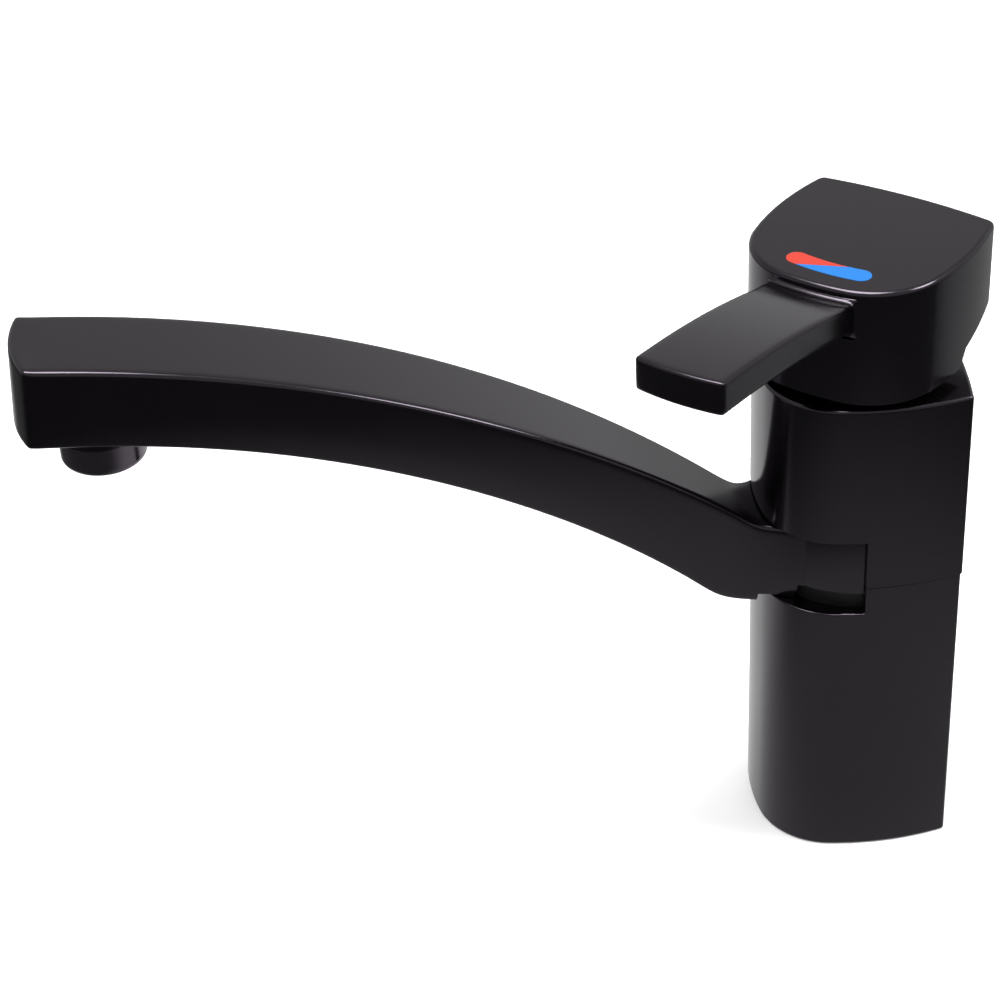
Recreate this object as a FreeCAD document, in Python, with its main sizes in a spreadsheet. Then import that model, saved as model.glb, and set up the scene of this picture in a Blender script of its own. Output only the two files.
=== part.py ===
import FreeCAD, Part
import math
import os
import Sketcher
from FreeCAD import Placement, Rotation, Vector

# Single-lever kitchen mixer tap with a swivelling arched spout.
# Millimetres, +Z up. The origin is where the swivel axis meets the worktop, and the column faces -Y.

doc = FreeCAD.newDocument("MixerTap")
sheet = doc.addObject("Spreadsheet::Sheet", "Sizes")

drivingSizes = {
    # Column, seen from above: a shallow front, two rounded corners, bowed sides, a bowed back.
    "columnWidth": 50.0,
    "columnFront": 24.5,
    "columnBack": 23.9,
    "frontRadius": 57.4,
    "cornerRadius": 19.0,
    "sideRadius": 72.6,
    "backRadius": 150.0,
    "widestBack": 4.4,
    # Heights on the column, each from the one before it.
    "seamHeight": 81.6,
    "windowDrop": 7.6,
    "lowerRingHeight": 4.6,
    "collarHeight": 15.8,
    "upperRingHeight": 0.8,
    "chamberSill": 1.8,
    "columnRise": 20.6,
    "windowEdge": 1.9,
    "lowerInset": 0.35,
    "shellWall": 2.6,
    "edgeRound": 0.8,
    "backCornerRound": 1.2,
    "seamGap": 0.1,
    # Swivel between the spout's collar and the upper body's journal.
    "journalRadius": 15.5,
    "journalFoot": 18.0,
    "collarRadius": 22.6,
    "collarRoom": 0.5,
    "runningFit": 0.05,
    "sealWidth": 2.4,
    "sealDepth": 1.6,
    "sealInset": 2.6,
    "waterGrooveDepth": 1.5,
    "waterGrooveHeight": 5.0,
    "outletRadius": 2.1,
    "slideRingRadius": 21.4,
    # Spout, measured along its own direction from the swivel axis.
    "spoutYaw": 6.0,
    "spoutReach": 195.7,
    "spoutWidest": 26.6,
    "spoutWidestAt": 125.0,
    "rootSideRadius": 1090.0,
    "tipSideRadius": 3300.0,
    "flareRadius": 22.0,
    "tipBow": 33.7,
    "tipLean": 4.5,
    "topArcRadius": 312.0,
    "underArcRadius": 254.3,
    "archRise": 77.6,
    "archThickness": 21.9,
    "elbowAlong": 23.6,
    "elbowRound": 9.0,
    "heelAlong": 25.1,
    "heelRound": 22.0,
    "heelDip": 1.7,
    "ledgeRoom": 0.4,
    "ledgeReach": 3.6,
    "spoutEdgeRound": 1.3,
    "waterwayRadius": 5.6,
    "waterwayElbow": 22.0,
    # Aerator in the spout's tip.
    "aeratorInset": 17.9,
    "aeratorStep": 0.4,
    "aeratorHeight": 7.2,
    "aeratorRadius": 9.8,
    "aeratorRound": 1.8,
    "aeratorThreadRadius": 9.25,
    "aeratorDepth": 9.0,
    "aeratorWall": 1.6,
    "keySlotWidth": 2.4,
    "keySlotDepth": 1.0,
    "meshPitch": 2.5,
    "meshHole": 0.85,
    "washerThickness": 1.6,
    # Cartridge, from the chamber's floor upward.
    "chamberRadius": 17.7,
    "cartridgeRadius": 17.5,
    "cartridgeWall": 1.2,
    "portSealHeight": 1.0,
    "baseHeight": 6.0,
    "discHeight": 4.0,
    "discRadius": 16.2,
    "movingDiscRadius": 12.1,
    "portRadius": 3.2,
    "supplySide": 5.2,
    "supplyFront": 5.2,
    "mixedBack": 3.6,
    "portSealWidth": 1.2,
    "hollowRadius": 4.0,
    "hollowBack": 2.0,
    "hollowDepth": 2.0,
    "shoulderRise": 15.0,
    "neckRise": 29.0,
    "neckWall": 2.2,
    "guideRadius": 12.2,
    "guideFlange": 15.9,
    "guideFlangeHeight": 3.4,
    "carrierPlate": 3.6,
    "carrierWidth": 10.0,
    "carrierLength": 9.0,
    "ballCover": 2.2,
    "layerGap": 0.1,
    "nutInnerGap": 0.3,
    "nutInset": 1.2,
    "nutSlot": 3.0,
    "trimRadius": 19.2,
    "trimHeight": 4.0,
    "trimWall": 1.2,
    # Handle and stem.
    "handleYaw": 48.8,
    "pivotRise": 27.0,
    "pinRadius": 1.6,
    "stemWidth": 7.0,
    "stemDepth": 6.4,
    "stemBall": 2.6,
    "stemTongue": 3.2,
    "stemRise": 17.0,
    "stemDrop": 9.0,
    "capGap": 2.4,
    "capHeight": 29.4,
    "capRoof": 4.0,
    "capHollowRadius": 20.4,
    "hubRadius": 7.6,
    "hubRise": 9.0,
    "notchStart": 3.2,
    "notchStep": 5.8,
    "notchStepRise": 4.2,
    "notchEndRise": 9.2,
    "leverWidth": 21.7,
    "leverReach": 81.9,
    "leverTipRise": 7.5,
    "leverTipThick": 8.5,
    "leverTopArc": 272.0,
    "leverUnderArc": 330.0,
    "leverTipSlope": 4.0,
    "leverRootDepth": 2.4,
    "leverRootRound": 7.0,
    "leverRootDrop": 1.2,
    "leverTipBow": 60.0,
    "leverEdgeRound": 0.9,
    "leverFit": 0.05,
    "leverScrewRadius": 1.5,
    "leverScrewDrop": 6.9,
    "leverScrewDepth": 7.0,
    "leverScrewHead": 2.6,
    "screwHeadHeight": 2.4,
    "screwSeatDepth": 0.2,
    "markLength": 21.4,
    "markWidth": 5.2,
    "markDepth": 0.6,
    "markInset": 7.9,
    "markSlant": 12.2,
    "markOffset": 1.0,
    "grubRadius": 2.5,
    "grubRise": 13.0,
    "grubLength": 6.0,
    # Underside.
    "stageThickness": 6.0,
    "inletRadius": 4.5,
    "inletSide": 7.2,
    "inletFront": 4.0,
    "inletDepth": 10.0,
    "bodyScrewRadius": 2.0,
    "bodyScrewSide": 9.5,
    "bodyScrewBack": 5.5,
    "bodyScrewLength": 14.0,
    "bodyScrewHead": 3.5,
    "studRadius": 3.4,
    "passageRoom": 0.7,
    "studBack": 4.2,
    "gasketWidth": 1.6,
    "gasketDepth": 1.2,
}

class Size:
    # A length with its value and the sheet expression that gives it.
    def __init__(self, value, text):
        self.value = float(value)
        self.text = text

    def combine(self, other, sign, value):
        return Size(value, "(%s %s %s)" % (self.text, sign, other.text))

    def __add__(self, other):
        other = asSize(other)
        return self.combine(other, "+", self.value + other.value)

    def __sub__(self, other):
        other = asSize(other)
        return self.combine(other, "-", self.value - other.value)

    def __mul__(self, other):
        other = asSize(other)
        return self.combine(other, "*", self.value * other.value)

    def __truediv__(self, other):
        other = asSize(other)
        return self.combine(other, "/", self.value / other.value)

    def __radd__(self, other):
        return asSize(other) + self

    def __rsub__(self, other):
        return asSize(other) - self

    def __rmul__(self, other):
        return asSize(other) * self

    def __neg__(self):
        return Size(-self.value, "(0 - %s)" % self.text)

    def root(self):
        return Size(math.sqrt(self.value), "sqrt(%s)" % self.text)


def asSize(value):
    return value if isinstance(value, Size) else Size(value, repr(float(value)))


class Named:
    pass


size = Named()
for row, (alias, value) in enumerate(drivingSizes.items(), start=1):
    sheet.set("A%d" % row, alias)
    sheet.set("B%d" % row, str(value))
    sheet.setAlias("B%d" % row, alias)
    setattr(size, alias, Size(value, "Sizes." + alias))
doc.recompute()

subParts = []


def bind(item, prop, length):
    item.setExpression(prop, asSize(length).text)


def newBody(label):
    body = doc.addObject("PartDesign::Body", label)
    body.Label = label
    subParts.append(body)
    return body


def sketchOn(body, name, role, offset=None):
    plane = [f for f in body.Origin.OriginFeatures if f.Role == role][0]
    sketch = body.newObject("Sketcher::SketchObject", name)
    sketch.AttachmentSupport = [(plane, "")]
    sketch.MapMode = "FlatFace"
    if offset is not None:
        sketch.AttachmentOffset = Placement(Vector(0, 0, asSize(offset).value), Rotation())
        bind(sketch, "AttachmentOffset.Base.z", offset)
    return sketch


def constrain(sketch, kind, *arguments):
    # The last argument is the length, bound to the sheet.
    length = asSize(arguments[-1])
    index = sketch.addConstraint(Sketcher.Constraint(kind, *arguments[:-1], length.value))
    bind(sketch, "Constraints[%d]" % index, length)


def pin(sketch, geometry, point, x, y):
    constrain(sketch, "DistanceX", -1, 1, geometry, point, asSize(x))
    constrain(sketch, "DistanceY", -1, 1, geometry, point, asSize(y))


def circle(sketch, x, y, radius):
    x, y, radius = asSize(x), asSize(y), asSize(radius)
    shape = Part.Circle(Vector(x.value, y.value, 0), Vector(0, 0, 1), radius.value)
    index = sketch.addGeometry(shape, False)
    pin(sketch, index, 3, x, y)
    constrain(sketch, "Radius", index, radius)
    return index


def polygon(sketch, corners):
    corners = [(asSize(x), asSize(y)) for x, y in corners]
    places = [Vector(x.value, y.value, 0) for x, y in corners]
    lines = []
    for i, place in enumerate(places):
        line = Part.LineSegment(place, places[(i + 1) % len(places)])
        lines.append(sketch.addGeometry(line, False))
    for i, line in enumerate(lines):
        following = lines[(i + 1) % len(lines)]
        sketch.addConstraint(Sketcher.Constraint("Coincident", line, 2, following, 1))
        pin(sketch, line, 1, *corners[i])
    return lines


def rectangle(sketch, x, y, width, height):
    left, right = asSize(x) - asSize(width) / 2, asSize(x) + asSize(width) / 2
    low, high = asSize(y) - asSize(height) / 2, asSize(y) + asSize(height) / 2
    return polygon(sketch, [(left, low), (right, low), (right, high), (left, high)])


def arc(sketch, centre, radius, start, end):
    # Anticlockwise from the direction of start to the direction of end, both points as (x, y).
    first = math.atan2(start[1] - centre[1], start[0] - centre[0])
    last = math.atan2(end[1] - centre[1], end[0] - centre[0])
    if last < first:
        last += 2 * math.pi
    base = Part.Circle(Vector(centre[0], centre[1], 0), Vector(0, 0, 1), radius)
    return sketch.addGeometry(Part.ArcOfCircle(base, first, last), False)


def crossing(centreA, radiusA, centreB, radiusB, side):
    # Where two circles cross, on the left (side 1) or right (side -1) of the way from A to B.
    dx, dy = centreB[0] - centreA[0], centreB[1] - centreA[1]
    gap = math.hypot(dx, dy)
    along = (gap * gap + radiusA * radiusA - radiusB * radiusB) / (2 * gap)
    across = math.sqrt(radiusA * radiusA - along * along) * side
    return (centreA[0] + (along * dx - across * dy) / gap, centreA[1] + (along * dy + across * dx) / gap)


def toward(centre, radius, target):
    # The point of a circle that faces a target, or faces away from it with a negative radius.
    reach = math.hypot(target[0] - centre[0], target[1] - centre[1])
    share = radius / reach
    return (centre[0] + share * (target[0] - centre[0]), centre[1] + share * (target[1] - centre[1]))


def feature(body, kind, name, sketch):
    item = body.newObject(kind, name)
    item.Profile = sketch
    sketch.Visibility = False
    return item


def pad(body, name, sketch, length, symmetric=False, backward=False):
    item = feature(body, "PartDesign::Pad", name, sketch)
    bind(item, "Length", length)
    item.Reversed = backward
    item.Midplane = symmetric
    return item


def pocket(body, name, sketch, length=None, symmetric=False, backward=False):
    item = feature(body, "PartDesign::Pocket", name, sketch)
    if length is None:
        item.Type = "ThroughAll"
    else:
        bind(item, "Length", length)
    item.Reversed = backward
    item.Midplane = symmetric
    return item


def revolve(body, name, sketch, cut=False):
    kind = "PartDesign::Groove" if cut else "PartDesign::Revolution"
    item = feature(body, kind, name, sketch)
    item.ReferenceAxis = (sketch, ["V_Axis"])
    item.Angle = 360
    return item


def turned(label, profile):
    # A round piece about the upright axis, from its half section as (radius, height) corners.
    body = newBody(label)
    sketch = sketchOn(body, label + "_profile", "XZ_Plane")
    polygon(sketch, profile)
    revolve(body, label + "_turned", sketch)
    return body


def tube(label, outer, inner, bottom, height):
    top = asSize(bottom) + asSize(height)
    return turned(label, [(inner, bottom), (outer, bottom), (outer, top), (inner, top)])


def roundEdges(body, name, radius, wanted):
    # Rounds the edges of the body's tip whose midpoint passes the test.
    doc.recompute()
    base = body.Tip
    names = []
    for i, edge in enumerate(base.Shape.Edges, start=1):
        middle = edge.valueAt((edge.FirstParameter + edge.LastParameter) / 2)
        if wanted(edge, middle):
            names.append("Edge%d" % i)
    fillet = body.newObject("PartDesign::Fillet", name)
    fillet.Base = (base, names)
    bind(fillet, "Radius", radius)
    return fillet


def dOutline(sketch, inset):
    # The plan of the column and of the cap: eight arcs, evenly drawn in by the inset.
    inset = asSize(inset)
    halfWidth = size.columnWidth / 2 - inset
    front = size.columnFront - inset
    back = size.columnBack - inset
    frontR = size.frontRadius - inset
    cornerR = size.cornerRadius - inset
    sideR = size.sideRadius - inset
    backR = size.backRadius - inset
    frontCentre = (0.0, frontR.value - front.value)
    sideCentre = (halfWidth.value - sideR.value, size.widestBack.value)
    backCentre = (0.0, back.value - backR.value)
    cornerCentre = crossing(frontCentre, frontR.value - cornerR.value,
                            sideCentre, sideR.value - cornerR.value, -1)
    if cornerCentre[0] < 0:
        cornerCentre = crossing(frontCentre, frontR.value - cornerR.value,
                                sideCentre, sideR.value - cornerR.value, 1)
    frontEnd = toward(frontCentre, frontR.value, cornerCentre)
    cornerEnd = toward(sideCentre, sideR.value, cornerCentre)
    smallR = size.backCornerRound
    smallCentre = crossing(sideCentre, sideR.value - smallR.value,
                           backCentre, backR.value - smallR.value, 1)
    sideEnd = toward(sideCentre, sideR.value, smallCentre)
    backEnd = toward(backCentre, backR.value, smallCentre)

    def mirrored(point):
        return (-point[0], point[1])

    arcs = [
        arc(sketch, frontCentre, frontR.value, mirrored(frontEnd), frontEnd),
        arc(sketch, cornerCentre, cornerR.value, frontEnd, cornerEnd),
        arc(sketch, sideCentre, sideR.value, cornerEnd, sideEnd),
        arc(sketch, smallCentre, smallR.value, sideEnd, backEnd),
        arc(sketch, backCentre, backR.value, backEnd, mirrored(backEnd)),
        arc(sketch, mirrored(smallCentre), smallR.value, mirrored(backEnd), mirrored(sideEnd)),
        arc(sketch, mirrored(sideCentre), sideR.value, mirrored(sideEnd), mirrored(cornerEnd)),
        arc(sketch, mirrored(cornerCentre), cornerR.value, mirrored(cornerEnd), mirrored(frontEnd)),
    ]
    for first, second in zip(arcs, arcs[1:] + arcs[:1]):
        sketch.addConstraint(Sketcher.Constraint("Tangent", first, 2, second, 1))
    pin(sketch, arcs[0], 3, 0, frontR - front)
    pin(sketch, arcs[2], 3, halfWidth - sideR, size.widestBack)
    pin(sketch, arcs[4], 3, 0, back - backR)
    pin(sketch, arcs[6], 3, sideR - halfWidth, size.widestBack)
    radii = [frontR, cornerR, sideR, smallR, backR, smallR, sideR, cornerR]
    for item, radius in zip(arcs, radii):
        constrain(sketch, "Radius", item, radius)
    return arcs


# Heights up the column, from the worktop to the cap.
seam = size.seamHeight
windowBottom = seam - size.windowDrop
journalBottom = windowBottom - size.journalFoot
collarBottom = windowBottom + size.lowerRingHeight
collarTop = collarBottom + size.collarHeight
windowTop = collarTop + size.upperRingHeight
chamberFloor = windowTop + size.chamberSill
cartridgeFloor = chamberFloor + size.portSealHeight
discFloor = cartridgeFloor + size.baseHeight
movingFloor = discFloor + size.discHeight
carrierFloor = movingFloor + size.discHeight
columnTop = carrierFloor + size.columnRise
housingShoulder = carrierFloor + size.shoulderRise
housingTop = carrierFloor + size.neckRise
trimTop = columnTop + size.trimHeight
pivotHeight = carrierFloor + size.pivotRise
carrierTop = pivotHeight - size.stemDrop + size.ballCover
stemTop = pivotHeight + size.stemRise
hubBottom = pivotHeight + size.hubRise
grubHeight = pivotHeight + size.grubRise
capBottom = columnTop + size.capGap
capTop = capBottom + size.capHeight
notchStepHeight = capBottom + size.notchStepRise
notchEndHeight = capBottom + size.notchEndRise
leverTipTop = capTop + size.leverTipRise
leverScrewHeight = capTop - size.leverScrewDrop
stageTop = journalBottom
stageBottom = stageTop - size.stageThickness

# Radii and levels of the swivel and the cartridge.
collarBore = size.journalRadius + size.runningFit
collarPocket = size.collarRadius + size.collarRoom
sealMiddleLow = collarBottom + size.sealInset
sealMiddleHigh = collarTop - size.sealInset
waterMiddle = (collarBottom + collarTop) / 2
housingBore = size.cartridgeRadius - size.cartridgeWall
neckBore = size.guideRadius + size.runningFit
neckRadius = neckBore + size.neckWall
guideSlotLength = size.carrierLength + size.stemDrop + size.stemTongue / 2

# The spout's two arches. Each springs from a rounding at the neck, and their crowns lie one
# thickness apart.
neckBottom = windowBottom - size.heelDip
topArcDown = size.topArcRadius - collarTop - size.archRise
underArcDown = size.underArcRadius - collarTop - size.archRise + size.archThickness


def springing(roundAlong, roundLevel, roundRadius, arcRadius, arcDown):
    # How far out an arch's centre lies when the arch touches the rounding at the neck.
    reach, rise = arcRadius + roundRadius, roundLevel + arcDown
    return roundAlong + (reach * reach - rise * rise).root()


topArcAlong = springing(size.elbowAlong, collarTop + size.elbowRound, size.elbowRound,
                        size.topArcRadius, topArcDown)
underArcAlong = springing(size.heelAlong, neckBottom + size.heelRound, size.heelRound,
                          size.underArcRadius, underArcDown)


def archHeight(arcAlong, arcDown, arcRadius, along):
    out = arcAlong - along
    return (arcRadius * arcRadius - out * out).root() - arcDown


tipMiddle = (archHeight(topArcAlong, topArcDown, size.topArcRadius, size.spoutReach)
             + archHeight(underArcAlong, underArcDown, size.underArcRadius, size.spoutReach)) / 2
aeratorAlong = size.spoutReach - size.aeratorInset
aeratorFace = archHeight(underArcAlong, underArcDown, size.underArcRadius,
                         aeratorAlong - size.aeratorRadius) - size.aeratorStep
aeratorBottom = aeratorFace - size.aeratorHeight
aeratorTop = aeratorFace + size.aeratorDepth - size.washerThickness


def frontSector(sketch, inner, edge):
    # Plan of the swivel window: everything in front of its side edges, outside a circle round the axis.
    inner, edge = asSize(inner), asSize(edge)
    reach = size.columnWidth
    half = math.sqrt(inner.value ** 2 - edge.value ** 2)
    bow = arc(sketch, (0, 0), inner.value, (-half, -edge.value), (half, -edge.value))
    places = [(half, -edge.value), (reach.value, -edge.value), (reach.value, -reach.value),
              (-reach.value, -reach.value), (-reach.value, -edge.value), (-half, -edge.value)]
    lines = []
    for start, end in zip(places, places[1:]):
        line = Part.LineSegment(Vector(start[0], start[1], 0), Vector(end[0], end[1], 0))
        lines.append(sketch.addGeometry(line, False))
    for first, second in zip(lines, lines[1:]):
        sketch.addConstraint(Sketcher.Constraint("Coincident", first, 2, second, 1))
    sketch.addConstraint(Sketcher.Constraint("Coincident", bow, 2, lines[0], 1))
    sketch.addConstraint(Sketcher.Constraint("Coincident", bow, 1, lines[-1], 2))
    pin(sketch, bow, 3, 0, 0)
    constrain(sketch, "Radius", bow, inner)
    for line, x, y in ((lines[1], reach, -edge), (lines[2], reach, -reach),
                       (lines[3], -reach, -reach), (lines[4], -reach, -edge)):
        pin(sketch, line, 1, x, y)
    constrain(sketch, "DistanceY", -1, 1, lines[0], 1, -edge)
    constrain(sketch, "DistanceY", -1, 1, lines[4], 2, -edge)


def makeUpperBody():
    # Upper column, one casting: a cartridge chamber above, and the journal that the collar turns on.
    body = newBody("upper_body")
    plan = sketchOn(body, "upper_plan", "XY_Plane", seam + size.seamGap)
    dOutline(plan, 0)
    pad(body, "upper_block", plan, columnTop - seam - size.seamGap)
    roundEdges(body, "upper_round", size.edgeRound,
               lambda edge, middle: abs(middle.z - columnTop.value) < 0.01)
    ring = sketchOn(body, "collar_room", "XY_Plane", windowTop)
    circle(ring, 0, 0, collarPocket)
    pocket(body, "collar_pocket", ring, windowTop - seam)
    window = sketchOn(body, "window_plan", "XY_Plane", windowTop)
    frontSector(window, size.journalRadius, size.windowEdge)
    pocket(body, "window", window, windowTop - seam)
    journal = sketchOn(body, "journal_plan", "XY_Plane", journalBottom)
    circle(journal, 0, 0, size.journalRadius)
    pad(body, "journal", journal, windowTop - journalBottom)
    chamber = sketchOn(body, "chamber_plan", "XY_Plane", columnTop)
    circle(chamber, 0, 0, size.chamberRadius)
    pocket(body, "chamber", chamber, columnTop - chamberFloor)
    grooves = sketchOn(body, "journal_grooves", "XZ_Plane")
    for middle, width, depth in ((sealMiddleLow, size.sealWidth, size.sealDepth),
                                 (sealMiddleHigh, size.sealWidth, size.sealDepth),
                                 (waterMiddle, size.waterGrooveHeight, size.waterGrooveDepth)):
        floor = size.journalRadius - depth
        low, high = middle - width / 2, middle + width / 2
        outside = size.journalRadius + size.runningFit
        polygon(grooves, [(floor, low), (outside, low), (outside, high), (floor, high)])
    revolve(body, "grooves", grooves, cut=True)
    supplies = sketchOn(body, "supply_bores", "XY_Plane", chamberFloor)
    for side in (-1, 1):
        circle(supplies, side * size.supplySide, -size.supplyFront, size.portRadius)
    pocket(body, "supplies", supplies, chamberFloor - journalBottom)
    mixed = sketchOn(body, "mixed_bore", "XY_Plane", chamberFloor)
    circle(mixed, 0, size.mixedBack, size.portRadius)
    pocket(body, "mixed", mixed, chamberFloor - waterMiddle + size.waterGrooveHeight / 2)
    outlet = sketchOn(body, "outlet_bore", "XZ_Plane", -size.mixedBack)
    circle(outlet, 0, waterMiddle, size.outletRadius)
    pocket(body, "outlet", outlet, size.journalRadius - size.mixedBack)
    sockets = sketchOn(body, "underside_sockets", "XY_Plane", journalBottom)
    for side in (-1, 1):
        circle(sockets, side * size.inletSide, -size.inletFront, size.inletRadius)
        circle(sockets, side * size.bodyScrewSide, size.bodyScrewBack, size.bodyScrewRadius)
    circle(sockets, 0, size.studBack, size.studRadius)
    pocket(body, "sockets", sockets, size.inletDepth, backward=True)
    return body


def makeLowerShell():
    # Lower column, hollow from below, with a stage that the journal stands on.
    body = newBody("lower_shell")
    plan = sketchOn(body, "lower_plan", "XY_Plane")
    dOutline(plan, size.lowerInset)
    pad(body, "lower_block", plan, seam)
    hollow = sketchOn(body, "hollow_plan", "XY_Plane")
    dOutline(hollow, size.lowerInset + size.shellWall)
    pocket(body, "hollow", hollow, stageBottom, backward=True)
    well = sketchOn(body, "journal_well", "XY_Plane", seam)
    circle(well, 0, 0, size.journalRadius + size.runningFit)
    pocket(body, "well", well, seam - stageTop)
    ring = sketchOn(body, "collar_room", "XY_Plane", seam)
    circle(ring, 0, 0, collarPocket)
    pocket(body, "collar_pocket", ring, seam - windowBottom)
    window = sketchOn(body, "window_plan", "XY_Plane", seam)
    frontSector(window, size.journalRadius, size.windowEdge)
    pocket(body, "window", window, seam - windowBottom)
    # A wide slot for both hoses, with a narrower one behind it for the fixing stud.
    hoseRoom = size.inletRadius + size.passageRoom
    studRoom = size.studRadius + size.passageRoom
    side, front, middle = size.inletSide + hoseRoom, -size.inletFront - hoseRoom, hoseRoom - size.inletFront
    back = size.studBack + studRoom
    passage = sketchOn(body, "stage_passage", "XY_Plane", stageTop)
    polygon(passage, [(-side, front), (side, front), (side, middle), (studRoom, middle),
                      (studRoom, back), (-studRoom, back), (-studRoom, middle), (-side, middle)])
    pocket(body, "passage", passage, size.stageThickness)
    holes = sketchOn(body, "stage_holes", "XY_Plane", stageTop)
    for hand in (-1, 1):
        circle(holes, hand * size.bodyScrewSide, size.bodyScrewBack, size.bodyScrewRadius)
    pocket(body, "screw_holes", holes, size.stageThickness)
    groove = sketchOn(body, "gasket_groove", "XY_Plane")
    wallMiddle = size.lowerInset + size.shellWall / 2
    dOutline(groove, wallMiddle - size.gasketWidth / 2)
    dOutline(groove, wallMiddle + size.gasketWidth / 2)
    pocket(body, "gasket_seat", groove, size.gasketDepth, backward=True)
    return body


def makeBaseGasket():
    # Rubber seal let into the foot of the lower column.
    body = newBody("base_gasket")
    ring = sketchOn(body, "gasket_plan", "XY_Plane")
    wallMiddle = size.lowerInset + size.shellWall / 2
    dOutline(ring, wallMiddle - size.gasketWidth / 2)
    dOutline(ring, wallMiddle + size.gasketWidth / 2)
    pad(body, "gasket", ring, size.gasketDepth)
    return body


class Outline:
    # A closed or open run of lines and arcs in a sketch, with tangent or plain corners.
    def __init__(self, sketch):
        self.sketch = sketch
        self.edges = []
        self.smooth = []

    def line(self, start, end, smooth=False):
        shape = Part.LineSegment(Vector(start[0], start[1], 0), Vector(end[0], end[1], 0))
        self.edges.append((self.sketch.addGeometry(shape, False), 1, 2))
        self.smooth.append(smooth)
        return self.edges[-1][0]

    def bend(self, start, end, centre, radius, left, smooth=False, held=True):
        # An arc that turns left (anticlockwise) or right on its way from start to end.
        # Its radius is held by the sheet unless its neighbours give it.
        if left:
            self.edges.append((arc(self.sketch, centre, radius.value, start, end), 1, 2))
        else:
            self.edges.append((arc(self.sketch, centre, radius.value, end, start), 2, 1))
        self.smooth.append(smooth)
        if held:
            constrain(self.sketch, "Radius", self.edges[-1][0], radius)
        return self.edges[-1][0]

    def join(self, closed=True):
        # smooth says whether an edge runs on from the one before it without a corner.
        count = len(self.edges)
        for i in range(count if closed else count - 1):
            first, _, firstEnd = self.edges[i]
            second, secondStart, _ = self.edges[(i + 1) % count]
            kind = "Tangent" if self.smooth[(i + 1) % count] else "Coincident"
            self.sketch.addConstraint(Sketcher.Constraint(kind, first, firstEnd, second, secondStart))

    def place(self, edge, x=None, y=None, end=False):
        # Holds an edge's first or last point at a distance from the sketch's origin.
        position = [item for item in self.edges if item[0] == edge][0][2 if end else 1]
        if x is not None:
            constrain(self.sketch, "DistanceX", -1, 1, edge, position, asSize(x))
        if y is not None:
            constrain(self.sketch, "DistanceY", -1, 1, edge, position, asSize(y))


def archRound(archCentre, archRadius, roundRadius, level):
    # Centre of a rounding whose own centre lies on a level and which touches the arch from outside.
    reach = archRadius + roundRadius
    return (archCentre[0] + math.sqrt(reach ** 2 - (level - archCentre[1]) ** 2), level)


def onArch(centre, radius, x):
    return (x, centre[1] + math.sqrt(radius ** 2 - (x - centre[0]) ** 2))


def drawSpoutSide(sketch):
    # Side view. The spout runs along -Y, which is -x here: a level neck, its elbow and heel, then
    # two arches that draw together toward the tip.
    topCentre = (-topArcAlong.value, -topArcDown.value)
    underCentre = (-underArcAlong.value, -underArcDown.value)
    rootX = -size.journalRadius - size.waterGrooveDepth
    farX = -size.spoutReach - size.tipBow / 2
    stepX = -size.collarRadius - size.collarRoom
    elbow = (-size.elbowAlong.value, (collarTop + size.elbowRound).value)
    heel = (-size.heelAlong.value, (neckBottom + size.heelRound).value)
    elbowEnd = toward(topCentre, size.topArcRadius.value, elbow)
    heelStart = toward(underCentre, size.underArcRadius.value, heel)
    topFar = onArch(topCentre, size.topArcRadius.value, farX.value)
    underFar = onArch(underCentre, size.underArcRadius.value, farX.value)
    high, low, inside = collarTop.value, neckBottom.value, collarBottom.value
    view = Outline(sketch)
    upper = view.line((rootX.value, high), (elbow[0], high))
    view.bend((elbow[0], high), elbowEnd, elbow, size.elbowRound, False, smooth=True)
    topArch = view.bend(elbowEnd, topFar, topCentre, size.topArcRadius, True, smooth=True)
    end = view.line(topFar, underFar)
    underArch = view.bend(underFar, heelStart, underCentre, size.underArcRadius, False)
    view.bend(heelStart, (heel[0], low), heel, size.heelRound, True, smooth=True)
    lower = view.line((heel[0], low), (stepX.value, low), smooth=True)
    view.line((stepX.value, low), (stepX.value, inside))
    inner = view.line((stepX.value, inside), (rootX.value, inside))
    back = view.line((rootX.value, inside), (rootX.value, high))
    view.join()
    view.place(upper, rootX, collarTop)
    constrain(sketch, "DistanceY", -1, 1, upper, 2, collarTop)
    pin(sketch, topArch, 3, -topArcAlong, -topArcDown)
    pin(sketch, underArch, 3, -underArcAlong, -underArcDown)
    view.place(end, x=farX)
    view.place(end, x=farX, end=True)
    view.place(lower, stepX, neckBottom, end=True)
    sketch.addConstraint(Sketcher.Constraint("Horizontal", lower))
    view.place(inner, stepX, collarBottom)
    view.place(back, x=rootX, y=collarBottom)


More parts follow.
